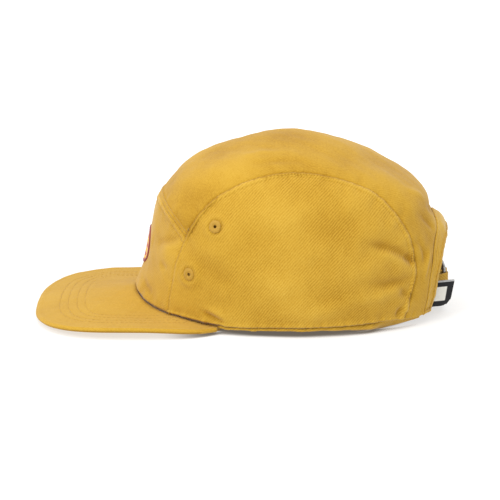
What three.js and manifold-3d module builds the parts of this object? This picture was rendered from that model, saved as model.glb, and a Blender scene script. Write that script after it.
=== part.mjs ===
// A soft five panel cap of cotton twill, in millimetres.
// +X is the wearer's left, -Y the front and +Z up. The cap rests on the lip of its sweatband, which
// lies flat along both sides. Its crown is laid out on a flat map, a disc with the top of the crown
// at its middle and the hem as its rim. A place on the crown is given by two numbers: around, in
// degrees from the front to the wearer's left, and up, from 0 at the hem to 1 at the top.
import * as THREE from 'three';
import Module from 'manifold-3d';
import { mergeVertices } from 'three/addons/utils/BufferGeometryUtils.js';

// Driving dimensions of the crown
const crownHeight = 118.5;
const crownWidth = 163;
const frontReach = 101.5;
const backReach = 102;
const hemFront = 16;
const clothWall = 1.4;
const seamGap = 0.3;
const foldDepth = 3;
const archFlare = 4.5;
const archPuff = 0.3;

// Brim
const brimWall = 3;
const brimWidth = 176;
const brimLength = 65.5;
const brimWidestAhead = 95;
const brimSquareness = 2.95;
const brimTipRise = 1.6;
const brimEdgeRise = 4.6;
const brimEdgeRound = 1.5;
const brimCornerAround = 57;
const brimCornerWidth = 2;

// Sweatband
const sweatWall = 1.2;
const sweatGap = 0.7;
const sweatTop = 0.11;
const sweatEndAround = 152.5;
const lipRoll = 7;

// Strap and buckle at the back
const strapWidth = 20;
const strapWall = 1.2;
const strapBottom = 6.5;
const strapSewnAround = 153.5;
const strapTailAround = 158;
const strapGap = 0.5;
const tabSewnAround = 155;
const tabEndAround = 165.5;
const archSideAround = 160;
const pastArchAround = 166;
const tailPastArchAround = 169;
const tailByArchAround = 164;
const tabPastArchAround = 170;
const buckleWidth = 24;
const buckleHeight = 27.5;
const buckleWire = 2.4;
const buckleBar = 1.8;
const buckleCorner = 4;

// Trimmings
const eyeletRadius = 4;
const eyeletBarrel = 1.9;
const eyeletHole = 1;
const eyeletThread = 0.8;
const trimGap = 0.45;
const patchWidth = 34;
const patchHeight = 25;
const patchUp = 0.173;
const patchWall = 0.9;
const labelLength = 16.5;
const labelHeight = 16;
const labelWall = 1.6;
const labelTilt = 12;
const labelSewn = 3;
const labelFootAround = 155;
const labelEdgeAround = 160.4;
const labelSwing = 23.5;
const labelEndSwing = 21.2;

// Sections of the crown from the hem to the top. Out is a share of the reach on that side of the
// crown and rise a share of crownHeight; square is the exponent of the crown's rounded outline.
const sections = [
  { at: 0.0, frontOut: 1.000, frontRise: 0.152, sideOut: 1.000, sideRise: 0.051, backOut: 0.975, backRise: 0.025, square: 2.10 },
  { at: 0.1, frontOut: 0.951, frontRise: 0.278, sideOut: 1.012, sideRise: 0.177, backOut: 1.000, backRise: 0.169, square: 2.15 },
  { at: 0.2, frontOut: 0.916, frontRise: 0.409, sideOut: 1.000, sideRise: 0.312, backOut: 0.993, backRise: 0.304, square: 2.20 },
  { at: 0.3, frontOut: 0.885, frontRise: 0.532, sideOut: 0.969, sideRise: 0.439, backOut: 0.966, backRise: 0.439, square: 2.30 },
  { at: 0.4, frontOut: 0.845, frontRise: 0.650, sideOut: 0.926, sideRise: 0.565, backOut: 0.932, backRise: 0.557, square: 2.35 },
  { at: 0.5, frontOut: 0.757, frontRise: 0.755, sideOut: 0.859, sideRise: 0.692, backOut: 0.874, backRise: 0.664, square: 2.40 },
  { at: 0.6, frontOut: 0.628, frontRise: 0.840, sideOut: 0.755, sideRise: 0.810, backOut: 0.766, backRise: 0.762, square: 2.35 },
  { at: 0.7, frontOut: 0.488, frontRise: 0.905, sideOut: 0.601, sideRise: 0.899, backOut: 0.608, backRise: 0.840, square: 2.30 },
  { at: 0.8, frontOut: 0.330, frontRise: 0.956, sideOut: 0.411, sideRise: 0.955, backOut: 0.431, backRise: 0.917, square: 2.20 },
  { at: 0.9, frontOut: 0.167, frontRise: 0.989, sideOut: 0.209, sideRise: 0.990, backOut: 0.221, backRise: 0.977, square: 2.10 },
  { at: 1.0, frontOut: 0.000, frontRise: 1.000, sideOut: 0.000, sideRise: 1.000, backOut: 0.000, backRise: 1.000, square: 2.00 },
  { at: 1.1, frontOut: -0.167, frontRise: 0.989, sideOut: -0.209, sideRise: 0.990, backOut: -0.221, backRise: 0.977, square: 2.00 },
];

// The hem's height as a share of hemFront, the height of the sweatband's lip as a share of the
// hem's, and how far the lip is rolled in, as a share of lipRoll. It lies flat on the surface from
// 62 to 130 degrees. The row before the front mirrors the one after it.
const hemLine = [
  { around: -10, hem: 0.87, lip: 0.72, roll: 0.0 },
  { around: 0, hem: 1.00, lip: 0.76, roll: 0.0 },
  { around: 10, hem: 0.87, lip: 0.72, roll: 0.0 },
  { around: 20, hem: 0.69, lip: 0.66, roll: 0.0 },
  { around: 30, hem: 0.55, lip: 0.60, roll: 0.0 },
  { around: 42, hem: 0.47, lip: 0.50, roll: 0.0 },
  { around: 54, hem: 0.33, lip: 0.25, roll: 0.1 },
  { around: 62, hem: 0.33, lip: 0.00, roll: 0.2 },
  { around: 80, hem: 0.37, lip: 0.00, roll: 0.5 },
  { around: 92, hem: 0.40, lip: 0.00, roll: 0.8 },
  { around: 104, hem: 0.40, lip: 0.00, roll: 1.0 },
  { around: 118, hem: 0.41, lip: 0.00, roll: 1.0 },
  { around: 130, hem: 0.44, lip: 0.00, roll: 0.9 },
  { around: 139, hem: 0.42, lip: 0.25, roll: 0.6 },
  { around: 147, hem: 0.36, lip: 0.45, roll: 0.3 },
  { around: 156, hem: 0.35, lip: 0.66, roll: 0.0 },
  { around: 180, hem: 0.40, lip: 0.66, roll: 0.0 },
];

// Sewn lines of the wearer's left half
const frontSeam = [
  { around: 39.6, up: 0.313 },
  { around: 31.9, up: 0.356 },
  { around: 20.3, up: 0.391 },
  { around: 0, up: 0.404 },
];
const sideSeam = [
  { around: 33.5, up: 0 },
  { around: 34, up: 0.10 },
  { around: 36.5, up: 0.20 },
  { around: 39.6, up: 0.313 },
  { around: 45.3, up: 0.43 },
  { around: 50, up: 0.50 },
  { around: 57, up: 0.55 },
  { around: 66, up: 0.597 },
  { around: 78, up: 0.634 },
  { around: 90, up: 0.646 },
  { around: 102, up: 0.643 },
  { around: 115, up: 0.625 },
  { around: 126, up: 0.590 },
  { around: 134.5, up: 0.538 },
  { around: 138.5, up: 0.47 },
  { around: 142.5, up: 0.39 },
  { around: 145, up: 0.30 },
  { around: 146.5, up: 0.21 },
  { around: 145, up: 0.14 },
  { around: 142, up: 0.06 },
  { around: 140.5, up: 0 },
];
const frontCornerRow = 3;
const rearShoulderRow = 13;
const archSeam = [
  { around: 180, up: 0.405 },
  { around: 172, up: 0.390 },
  { around: 165.1, up: 0.345 },
  { around: 158.5, up: 0.266 },
  { around: 156.4, up: 0.20 },
  { around: 153.8, up: 0.143 },
  { around: 153.6, up: 0.07 },
  { around: 152.8, up: 0 },
];
const archEdge = [
  { around: 180, up: 0.300 },
  { around: 171, up: 0.285 },
  { around: 165, up: 0.250 },
  { around: 162.2, up: 0.208 },
  { around: 160, up: 0.16 },
  { around: 159, up: 0.11 },
  { around: 159.2, up: 0.059 },
  { around: 158.2, up: 0 },
];

// Dents and ridges of the soft crown, each along a line between two places. Width is a share of
// crownHeight and depth a share of foldDepth, below 0 where the cloth sinks in.
const folds = [
  { fromAround: 127, fromUp: 0.295, toAround: 143, toUp: 0.235, width: 0.065, depth: -1.00 },
  { fromAround: 126, fromUp: 0.235, toAround: 142, toUp: 0.180, width: 0.065, depth: 0.55 },
  { fromAround: 124, fromUp: 0.140, toAround: 143, toUp: 0.135, width: 0.080, depth: -0.60 },
  { fromAround: 119, fromUp: 0.060, toAround: 139, toUp: 0.080, width: 0.090, depth: 0.35 },
  { fromAround: 93, fromUp: 0.030, toAround: 114, toUp: 0.090, width: 0.100, depth: 0.40 },
  { fromAround: 51, fromUp: 0.060, toAround: 59, toUp: 0.010, width: 0.090, depth: -0.35 },
  { fromAround: 20, fromUp: 0.300, toAround: 37, toUp: 0.285, width: 0.070, depth: -0.80 },
  { fromAround: 26, fromUp: 0.225, toAround: 40, toUp: 0.215, width: 0.070, depth: 0.45 },
  { fromAround: 24, fromUp: 0.165, toAround: 36, toUp: 0.140, width: 0.080, depth: -0.40 },
  { fromAround: 8, fromUp: 0.100, toAround: 24, toUp: 0.060, width: 0.090, depth: -0.45 },
  { fromAround: 2, fromUp: 0.030, toAround: 18, toUp: 0.020, width: 0.090, depth: 0.40 },
  { fromAround: 40, fromUp: 0.780, toAround: 100, toUp: 0.800, width: 0.100, depth: -0.50 },
  { fromAround: 120, fromUp: 0.740, toAround: 160, toUp: 0.700, width: 0.090, depth: -0.45 },
  { fromAround: 150, fromUp: 0.520, toAround: 168, toUp: 0.480, width: 0.080, depth: 0.45 },
  { fromAround: 168, fromUp: 0.425, toAround: 180, toUp: 0.435, width: 0.065, depth: -0.80 },
];

// Eyelets of one side panel
const eyelets = [
  { name: 'upper', around: 54.0, up: 0.391 },
  { name: 'lower', around: 43.6, up: 0.174 },
];

// Steps of the cloth grids: over the crown, down its legs, across half the top and round the arch
const overSteps = 22;
const legSteps = 12;
const crossSteps = 7;
const archSteps = 2;
const brimSteps = 28;
const brimRings = 6;
const sweatSteps = 46;
const ribbonSteps = 26;
const labelSteps = 8;
const smallStep = 0.002;

const wasm = await Module();
wasm.setup();
const degrees = THREE.MathUtils.degToRad;

// One column of a table at a place along it, on a smooth curve through the rows.
function read(rows, key, column, place) {
  const last = rows.length - 1;
  let i = 0;
  while (i < last - 1 && place > rows[i + 1][key]) i += 1;
  const slope = (k) => {
    const before = rows[Math.max(0, k - 1)];
    const after = rows[Math.min(last, k + 1)];
    return (after[column] - before[column]) / (after[key] - before[key]);
  };
  const span = rows[i + 1][key] - rows[i][key];
  const f = THREE.MathUtils.clamp((place - rows[i][key]) / span, 0, 1);
  const rise = rows[i + 1][column] - rows[i][column];
  const bend = (1 - f) * (slope(i) * span - rise) - f * (slope(i + 1) * span - rise);
  return rows[i][column] + f * rise + f * (1 - f) * bend;
}

// The flat map of the crown and back
function onMap(around, up) {
  const angle = degrees(around);
  return new THREE.Vector2((1 - up) * Math.sin(angle), -(1 - up) * Math.cos(angle));
}
function aroundOf(place) {
  return THREE.MathUtils.radToDeg(Math.atan2(place.x, -place.y));
}

function hemHeight(around) {
  return hemFront * read(hemLine, 'around', 'hem', Math.abs(around));
}
function lipHeight(around) {
  return Math.max(0, hemHeight(around) * read(hemLine, 'around', 'lip', Math.abs(around)));
}

// A point of the crown's outer face, before its folds
function smoothCrown(place) {
  const up = 1 - place.length();
  const angle = Math.atan2(place.x, -place.y);
  const ahead = Math.cos(angle);
  const aside = Math.sin(angle);
  const at = (column) => read(sections, 'at', column, up);
  const facing = ahead > 0 ? 'front' : 'back';
  const reach = (ahead > 0 ? frontReach : backReach) * at(facing + 'Out');
  const half = crownWidth / 2 * at('sideOut');
  const square = at('square');
  const long = Math.pow(Math.abs(ahead) / Math.max(reach, 1e-9), square);
  const wide = Math.pow(Math.abs(aside) / Math.max(half, 1e-9), square);
  const out = up < 1 ? Math.pow(long + wide, -1 / square) : 0;
  const rise = (share) => crownHeight
    * (ahead * ahead * read(sections, 'at', facing + 'Rise', share)
      + aside * aside * read(sections, 'at', 'sideRise', share));
  const toHem = hemHeight(THREE.MathUtils.radToDeg(angle)) - rise(0);
  return new THREE.Vector3(out * aside, -out * ahead, rise(up) + toHem * Math.pow(1 - up, 4));
}

function outward(place) {
  const right = smoothCrown(new THREE.Vector2(place.x + smallStep, place.y));
  const left = smoothCrown(new THREE.Vector2(place.x - smallStep, place.y));
  const back = smoothCrown(new THREE.Vector2(place.x, place.y + smallStep));
  const front = smoothCrown(new THREE.Vector2(place.x, place.y - smallStep));
  return right.sub(left).cross(back.sub(front)).normalize();
}

const foldLines = folds.map((fold) => ({
  ...fold,
  line: new THREE.Line3(
    smoothCrown(onMap(fold.fromAround, fold.fromUp)),
    smoothCrown(onMap(fold.toAround, fold.toUp)),
  ),
}));

// How far the folds push a point out; the right half of the crown mirrors the left.
function foldAt(point) {
  const mirrored = new THREE.Vector3(Math.abs(point.x), point.y, point.z);
  const nearest = new THREE.Vector3();
  let push = 0;
  for (const fold of foldLines) {
    fold.line.closestPointToPoint(mirrored, true, nearest);
    const away = nearest.distanceTo(mirrored) / (fold.width * crownHeight);
    push += fold.depth * foldDepth * Math.exp(-away * away);
  }
  return push;
}

// A point of the cloth, moved out from the crown's outer face by lift
function clothAt(place, lift = 0) {
  const point = smoothCrown(place);
  return point.addScaledVector(outward(place), foldAt(point) + lift);
}

// Sewn lines as points of the map, evenly spaced between two rows of their table
function sewnLine(rows, fromRow, toRow, steps) {
  const curve = new THREE.SplineCurve(rows.map((row) => onMap(row.around, row.up)));
  const last = rows.length - 1;
  const fine = [];
  const fineSteps = steps * 12;
  for (let i = 0; i <= fineSteps; i++) {
    fine.push(curve.getPoint(THREE.MathUtils.lerp(fromRow, toRow, i / fineSteps) / last));
  }
  const lengths = [0];
  for (let i = 1; i <= fineSteps; i++) lengths.push(lengths[i - 1] + fine[i].distanceTo(fine[i - 1]));
  const line = [];
  let k = 0;
  for (let i = 0; i <= steps; i++) {
    const wanted = lengths[fineSteps] * i / steps;
    while (k < fineSteps - 1 && lengths[k + 1] < wanted) k += 1;
    const part = (wanted - lengths[k]) / (lengths[k + 1] - lengths[k]);
    line.push(fine[k].clone().lerp(fine[k + 1], Math.min(part, 1)));
  }
  return line;
}
function hemBetween(fromAround, toAround, steps) {
  const line = [];
  for (let i = 0; i <= steps; i++) line.push(onMap(THREE.MathUtils.lerp(fromAround, toAround, i / steps), 0));
  return line;
}
const mirrorLine = (line) => line.map((place) => new THREE.Vector2(-place.x, place.y));
const backwards = (line) => [...line].reverse();

// A grid of map places inside four sewn lines: start and end run along it, left and right across.
function patchOfMap(start, end, left, right) {
  const across = start.length - 1;
  const along = left.length - 1;
  const grid = [];
  for (let j = 0; j <= along; j++) {
    const v = j / along;
    const row = [];
    for (let i = 0; i <= across; i++) {
      const u = i / across;
      const place = new THREE.Vector2();
      place.addScaledVector(start[i], 1 - v).addScaledVector(end[i], v);
      place.addScaledVector(left[j], 1 - u).addScaledVector(right[j], u);
      place.addScaledVector(start[0], -(1 - u) * (1 - v)).addScaledVector(start[across], -u * (1 - v));
      place.addScaledVector(end[0], -(1 - u) * v).addScaledVector(end[across], -u * v);
      row.push(place);
    }
    grid.push(row);
  }
  return grid;
}

// Moves the sewn sides of a grid of points in by half a seam's gap. The right side may start at a
// later row, where the grid's own middle line ends.
function pullIn(grid, sides) {
  const last = grid.length - 1;
  const end = grid[0].length - 1;
  const rows = grid.map((row) => row.map((point) => point.clone()));
  const pull = (point, inner) => {
    point.addScaledVector(inner.clone().sub(point).normalize(), seamGap / 2);
  };
  for (let i = 0; i <= end; i++) {
    if (sides.start) pull(grid[0][i], rows[1][i]);
    if (sides.end) pull(grid[last][i], rows[last - 1][i]);
  }
  for (let j = 0; j <= last; j++) {
    if (sides.left) pull(grid[j][0], rows[j][1]);
    if (sides.rightFrom === undefined || j < sides.rightFrom) continue;
    if (j === sides.rightFrom && j > 0) pull(grid[j][end], rows[j - 1][end]);
    else pull(grid[j][end], rows[j][end - 1]);
  }
}

// Triangles of a grid whose rows have the same number of points, numbered row by row
function gridTriangles(rowCount, columnCount) {
  const triangles = [];
  for (let j = 0; j < rowCount - 1; j++) {
    for (let i = 0; i < columnCount - 1; i++) {
      const a = j * columnCount + i;
      const b = a + 1;
      const c = a + columnCount;
      const d = c + 1;
      triangles.push([a, b, d], [a, d, c]);
    }
  }
  return triangles;
}

// A closed solid between an outer and an inner skin that share their triangles
function closeSkins(outer, inner, triangles) {
  const count = outer.length;
  const indices = [];
  const edges = new Set();
  for (const [a, b, c] of triangles) {
    indices.push(a, b, c, a + count, c + count, b + count);
    for (const [from, to] of [[a, b], [b, c], [c, a]]) edges.add(from + ' ' + to);
  }
  for (const edge of edges) {
    const [from, to] = edge.split(' ').map(Number);
    if (edges.has(to + ' ' + from)) continue;
    indices.push(to, from, from + count, to, from + count, to + count);
  }
  const geometry = new THREE.BufferGeometry();
  const positions = [...outer, ...inner].flatMap((point) => [point.x, point.y, point.z]);
  geometry.setAttribute('position', new THREE.Float32BufferAttribute(positions, 3));
  geometry.setIndex(indices);
  geometry.computeVertexNormals();
  return geometry;
}

// A cloth solid from grids of map places, with the points that the grids share merged
function clothSolid(grids, sides, lift = () => 0) {
  const outer = [];
  const inner = [];
  const triangles = [];
  const known = new Map();
  for (const { grid, flip } of grids) {
    const rise = (j, i) => lift(j / (grid.length - 1), i / (grid[0].length - 1));
    const faces = grid.map((row, j) => row.map((place, i) => clothAt(place, rise(j, i))));
    const backs = grid.map((row, j) => row.map((place, i) => clothAt(place, rise(j, i) - clothWall)));
    pullIn(faces, sides);
    pullIn(backs, sides);
    const numbers = [];
    faces.forEach((row, j) => row.forEach((point, i) => {
      const key = [point.x, point.y, point.z].map((value) => Math.round(value * 1e4) + 0).join(' ');
      if (!known.has(key)) {
        known.set(key, outer.length);
        outer.push(point);
        inner.push(backs[j][i]);
      }
      numbers.push(known.get(key));
    }));
    for (const [a, b, c] of gridTriangles(grid.length, grid[0].length)) {
      triangles.push((flip ? [a, c, b] : [a, b, c]).map((corner) => numbers[corner]));
    }
  }
  return closeSkins(outer, inner, triangles);
}

const finishes = {
  twill: { color: 0xcf9a3c, roughness: 0.95, metalness: 0 },
  thread: { color: 0xd6a145, roughness: 0.8, metalness: 0 },
  metal: { color: 0x8d8b86, roughness: 0.4, metalness: 1 },
  labelCloth: { color: 0x1d1c1f, roughness: 0.85, metalness: 0 },
  patchThread: { color: 0xe0b33a, roughness: 0.75, metalness: 0 },
};
function piece(name, geometry, finish) {
  const mesh = new THREE.Mesh(geometry, new THREE.MeshStandardMaterial(finishes[finish]));
  mesh.name = name;
  return mesh;
}

const sideFrontLeg = sewnLine(sideSeam, 0, frontCornerRow, legSteps);
const sideOver = sewnLine(sideSeam, frontCornerRow, rearShoulderRow, overSteps);
const sideRearLeg = sewnLine(sideSeam, rearShoulderRow, sideSeam.length - 1, legSteps);
const acrossFront = sewnLine(frontSeam, 0, frontSeam.length - 1, crossSteps);
const archOuter = sewnLine(archSeam, 0, archSeam.length - 1, legSteps);
const archInner = sewnLine(archEdge, 0, archEdge.length - 1, legSteps);
const frontFoot = sideSeam[0].around;
const rearFoot = sideSeam[sideSeam.length - 1].around;
const archFoot = { outer: archSeam[archSeam.length - 1].around, inner: archEdge[archEdge.length - 1].around };

function frontPanel() {
  const hem = hemBetween(-frontFoot, frontFoot, 2 * crossSteps);
  const top = [...mirrorLine(acrossFront), ...backwards(acrossFront).slice(1)];
  const grid = patchOfMap(hem, top, mirrorLine(sideFrontLeg), sideFrontLeg);
  const geometry = clothSolid([{ grid, flip: false }], { end: true, left: true, rightFrom: 0 });
  return piece('front_panel', geometry, 'twill');
}

function topPanel() {
  const crest = [];
  for (let j = 0; j <= overSteps; j++) {
    const y = THREE.MathUtils.lerp(acrossFront[crossSteps].y, archOuter[0].y, j / overSteps);
    crest.push(new THREE.Vector2(0, y));
  }
  const outside = [...sideOver, ...sideRearLeg.slice(1)];
  const inside = [...crest, ...archOuter.slice(1)];
  const hem = hemBetween(rearFoot, archFoot.outer, crossSteps);
  const grid = patchOfMap(acrossFront, hem, outside, inside);
  const halves = [{ grid, flip: true }, { grid: grid.map(mirrorLine), flip: false }];
  const geometry = clothSolid(halves, { start: true, left: true, rightFrom: overSteps });
  return piece('top_panel', geometry, 'twill');
}

function backPanel() {
  const crown = [];
  for (let i = 0; i <= archSteps; i++) crown.push(archOuter[0].clone().lerp(archInner[0], i / archSteps));
  const grid = patchOfMap(crown, hemBetween(archFoot.outer, archFoot.inner, archSteps), archOuter, archInner);
  const halves = [{ grid, flip: true }, { grid: grid.map(mirrorLine), flip: false }];
  const flare = (down, across) => archFlare * Math.pow(across, archPuff) * Math.pow(Math.cos(down * Math.PI / 2), 2);
  return piece('back_panel', clothSolid(halves, { left: true }, flare), 'twill');
}

// A closed mesh as a solid that can be cut, and back
function toSolid(geometry) {
  const bare = geometry.clone();
  bare.deleteAttribute('normal');
  if (bare.attributes.uv) bare.deleteAttribute('uv');
  const merged = mergeVertices(bare, 1e-4);
  return new wasm.Manifold(new wasm.Mesh({
    numProp: 3,
    vertProperties: new Float32Array(merged.attributes.position.array),
    triVerts: new Uint32Array(merged.index.array),
  }));
}
function fromSolid(solid) {
  const mesh = solid.getMesh();
  const geometry = new THREE.BufferGeometry();
  geometry.setAttribute('position', new THREE.BufferAttribute(mesh.vertProperties, 3));
  geometry.setIndex(new THREE.BufferAttribute(mesh.triVerts, 1));
  geometry.computeVertexNormals();
  return geometry;
}

// Where something is sewn on the crown: its middle, and a turn that takes +Y out of the cloth
function seatAt(around, up, side) {
  const place = onMap(around * side, up);
  const turn = new THREE.Quaternion().setFromUnitVectors(new THREE.Vector3(0, 1, 0), outward(place));
  return new THREE.Matrix4().compose(clothAt(place), turn, new THREE.Vector3(1, 1, 1));
}

function sidePanel(name, side) {
  const hem = hemBetween(frontFoot, rearFoot, overSteps);
  const grid = patchOfMap(hem, sideOver, sideFrontLeg, backwards(sideRearLeg));
  const half = side > 0 ? { grid, flip: false } : { grid: grid.map(mirrorLine), flip: true };
  let solid = toSolid(clothSolid([half], { end: true, left: true, rightFrom: 0 }));
  for (const eyelet of eyelets) {
    const punch = new THREE.CylinderGeometry(eyeletBarrel + seamGap, eyeletBarrel + seamGap, 8 * clothWall, 12);
    punch.applyMatrix4(seatAt(eyelet.around, eyelet.up, side));
    solid = solid.subtract(toSolid(punch));
  }
  return piece(name, fromSolid(solid), 'twill');
}

// A ring of thread that wraps the edge of its hole: a flange outside, a barrel and a flange inside
function eyeletRing(name, eyelet, side) {
  const outside = trimGap;
  const inside = -clothWall - trimGap;
  const profile = [
    [eyeletHole, inside - eyeletThread],
    [eyeletRadius * 0.85, inside - eyeletThread],
    [eyeletRadius, inside],
    [eyeletBarrel, inside],
    [eyeletBarrel, outside],
    [eyeletRadius, outside],
    [eyeletRadius * 0.85, outside + eyeletThread],
    [eyeletHole * 1.6, outside + eyeletThread],
    [eyeletHole, outside],
    [eyeletHole, inside - eyeletThread],
  ].map(([out, height]) => new THREE.Vector2(out, height));
  const geometry = new THREE.LatheGeometry(profile, 12);
  geometry.applyMatrix4(seatAt(eyelet.around, eyelet.up, side));
  return piece(name, geometry, 'thread');
}

// The map place of a point of the front, given as its distance aside and up the cloth
function frontPlace(aside, rise) {
  const middle = onMap(0, patchUp);
  const centre = smoothCrown(middle);
  const place = middle.clone();
  for (let tries = 0; tries < 4; tries++) {
    const here = smoothCrown(place);
    const right = smoothCrown(place.clone().add(new THREE.Vector2(smallStep, 0)));
    const lower = smoothCrown(place.clone().add(new THREE.Vector2(0, -smallStep)));
    place.x += smallStep * (aside - here.x) / (right.x - here.x);
    place.y += smallStep * (rise - (here.z - centre.z)) / (here.z - lower.z);
  }
  return place;
}

function frontPatch() {
  const rings = [0.45, 0.85, 1];
  const spokes = 24;
  const skins = [[], []];
  const layers = [trimGap + patchWall, trimGap];
  layers.forEach((lift, side) => {
    skins[side].push(clothAt(frontPlace(0, 0), lift));
    rings.forEach((share, ring) => {
      const soften = side === 0 && ring === rings.length - 1 ? 0.35 * patchWall : 0;
      for (let k = 0; k < spokes; k++) {
        const angle = 2 * Math.PI * k / spokes;
        const place = frontPlace(share * patchWidth / 2 * Math.cos(angle), share * patchHeight / 2 * Math.sin(angle));
        skins[side].push(clothAt(place, lift - soften));
      }
    });
  });
  const triangles = [];
  for (let k = 0; k < spokes; k++) {
    const next = (k + 1) % spokes;
    triangles.push([0, 1 + k, 1 + next]);
    for (let ring = 0; ring < rings.length - 1; ring++) {
      const inner = 1 + ring * spokes;
      const outer = inner + spokes;
      triangles.push([inner + k, outer + k, outer + next], [inner + k, outer + next, inner + next]);
    }
  }
  return piece('front_patch', closeSkins(skins[0], skins[1], triangles), 'patchThread');
}

// The outline of the brim in plan, from one corner (-1) over the tip (0) to the other (1), with the
// height of its lower face
function brimEdge(share) {
  const corner = smoothCrown(onMap(brimCornerAround, 0));
  const cornerX = corner.x + brimCornerWidth;
  const half = brimWidth / 2;
  const tip = -(frontReach + brimLength);
  const behind = (corner.y + brimWidestAhead)
    / Math.pow(1 - Math.pow(cornerX / half, brimSquareness), 1 / brimSquareness);
  const cornerTurn = Math.PI - Math.asin(Math.pow(cornerX / half, brimSquareness / 2));
  const turn = Math.abs(share) * cornerTurn;
  const x = Math.sign(share) * half * Math.pow(Math.sin(turn), 2 / brimSquareness);
  const reach = Math.cos(turn) > 0 ? -brimWidestAhead - tip : behind;
  const y = -brimWidestAhead
    - Math.sign(Math.cos(turn)) * reach * Math.pow(Math.abs(Math.cos(turn)), 2 / brimSquareness);
  const ahead = THREE.MathUtils.clamp((y - tip) / (-brimWidestAhead - tip), 0, 1);
  const back = THREE.MathUtils.clamp((y + brimWidestAhead) / (corner.y + brimWidestAhead), 0, 1);
  const cornerRise = hemHeight(brimCornerAround) - seamGap - brimWall;
  const rise = THREE.MathUtils.lerp(brimTipRise, brimEdgeRise, Math.pow(Math.sin(ahead * Math.PI / 2), 0.8));
  const z = THREE.MathUtils.lerp(cornerRise, rise, Math.pow(Math.cos(back * Math.PI / 2), 2));
  return new THREE.Vector3(x, y, z);
}

function brim() {
  const upper = [];
  const lower = [];
  for (let j = 0; j <= brimRings + 1; j++) {
    const v = Math.min(1, j / brimRings);
    for (let i = 0; i <= brimSteps; i++) {
      const share = 2 * i / brimSteps - 1;
      const root = clothAt(onMap(share * brimCornerAround, 0), -clothWall);
      root.z = hemHeight(share * brimCornerAround) - seamGap - brimWall;
      const edge = brimEdge(share);
      const away = new THREE.Vector2(edge.x - root.x, edge.y - root.y);
      const round = Math.min(brimEdgeRound, 0.4 * away.length()) / away.length();
      const nose = j > brimRings ? 0.36 * brimWall : 0;
      const point = root.clone().lerp(edge, j > brimRings ? 1 : v * (1 - round));
      point.z = THREE.MathUtils.lerp(root.z, edge.z, v);
      lower.push(point.clone().setZ(point.z + nose));
      upper.push(point.clone().setZ(point.z + brimWall - nose));
    }
  }
  const triangles = gridTriangles(brimRings + 2, brimSteps + 1).map(([a, b, c]) => [a, c, b]);
  return piece('brim', closeSkins(upper, lower, triangles), 'twill');
}

// Takes a point of the sweatband's lower edge in under the crown and down to its height.
function rollLip(point, around) {
  const inward = lipRoll * read(hemLine, 'around', 'roll', Math.abs(around));
  point.addScaledVector(outward(onMap(around, 0)).setZ(0).normalize(), -inward);
  point.z = lipHeight(around);
}

function sweatband() {
  const skins = [[], []];
  const inset = clothWall + sweatGap;
  const levels = [0, 0, sweatTop / 3, sweatTop * 2 / 3, sweatTop];
  levels.forEach((up, level) => {
    for (let i = 0; i <= sweatSteps; i++) {
      const around = THREE.MathUtils.lerp(-sweatEndAround, sweatEndAround, i / sweatSteps);
      [inset, inset + sweatWall].forEach((depth, side) => {
        const point = clothAt(onMap(around, up), -depth);
        if (level === 0) rollLip(point, around);
        skins[side].push(point);
      });
    }
  });
  const triangles = gridTriangles(levels.length, sweatSteps + 1);
  return piece('sweatband', closeSkins(skins[0], skins[1], triangles), 'twill');
}

// A place beside the crown's hem in plan, where the strap runs, lift out of the crown
const strapMiddle = strapBottom + strapWidth / 2;
function beltAt(around, lift) {
  const place = onMap(around, 0);
  const out = outward(place).setZ(0).normalize();
  const point = smoothCrown(place).addScaledVector(out, lift);
  return new THREE.Vector2(point.x, point.y);
}

// An upright ribbon along a route in plan
function ribbon(route, wall, bottom, height) {
  const middle = new THREE.SplineCurve(route);
  const points = middle.getSpacedPoints(ribbonSteps);
  const sides = points.map((point, i) => {
    const before = points[Math.max(0, i - 1)];
    const after = points[Math.min(points.length - 1, i + 1)];
    const heading = after.clone().sub(before).normalize();
    return new THREE.Vector2(-heading.y, heading.x).multiplyScalar(wall / 2);
  });
  const near = points.map((point, i) => point.clone().add(sides[i]));
  const far = points.map((point, i) => point.clone().sub(sides[i]));
  const outline = new THREE.Shape([...near, ...backwards(far)]);
  const geometry = new THREE.ExtrudeGeometry(outline, { depth: height, bevelEnabled: false });
  geometry.translate(0, 0, bottom);
  return geometry;
}

const buckleOut = backReach - 1;
const buckleSide = buckleWidth / 2 - buckleWire / 2;
const ply = strapWall + strapGap;
const pass = buckleWire / 2 + strapGap + strapWall / 2;
const labelInset = clothWall + seamGap + labelWall / 2;
const tabInset = clothWall + seamGap + labelWall + strapGap + strapWall / 2;
const atBuckle = (x, lift) => new THREE.Vector2(x, buckleOut + lift);

// The strap comes from the wearer's right, goes under one side of the buckle, over its bar and
// under the other side, and its tail lies inside the tab.
function strap() {
  const inset = clothWall + seamGap + strapWall / 2;
  const route = [
    beltAt(-strapSewnAround, -inset),
    beltAt(-archSideAround, -inset),
    beltAt(-pastArchAround, -0.4 * inset),
    atBuckle(-buckleSide - buckleWire, -pass),
    atBuckle(-buckleSide + buckleWire / 2, -pass),
    atBuckle(-buckleBar / 2, pass),
    atBuckle(buckleBar / 2, pass),
    atBuckle(buckleSide - 1.4 * buckleWire, -pass - ply / 2),
    atBuckle(buckleSide, -pass - ply),
    beltAt(tailPastArchAround, -pass - 1.6 * ply),
    beltAt(tailByArchAround, -tabInset - 1.4 * ply),
    beltAt(strapTailAround, -tabInset - 1.2 * ply),
  ];
  return piece('strap', ribbon(route, strapWall, strapBottom, strapWidth), 'twill');
}

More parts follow.
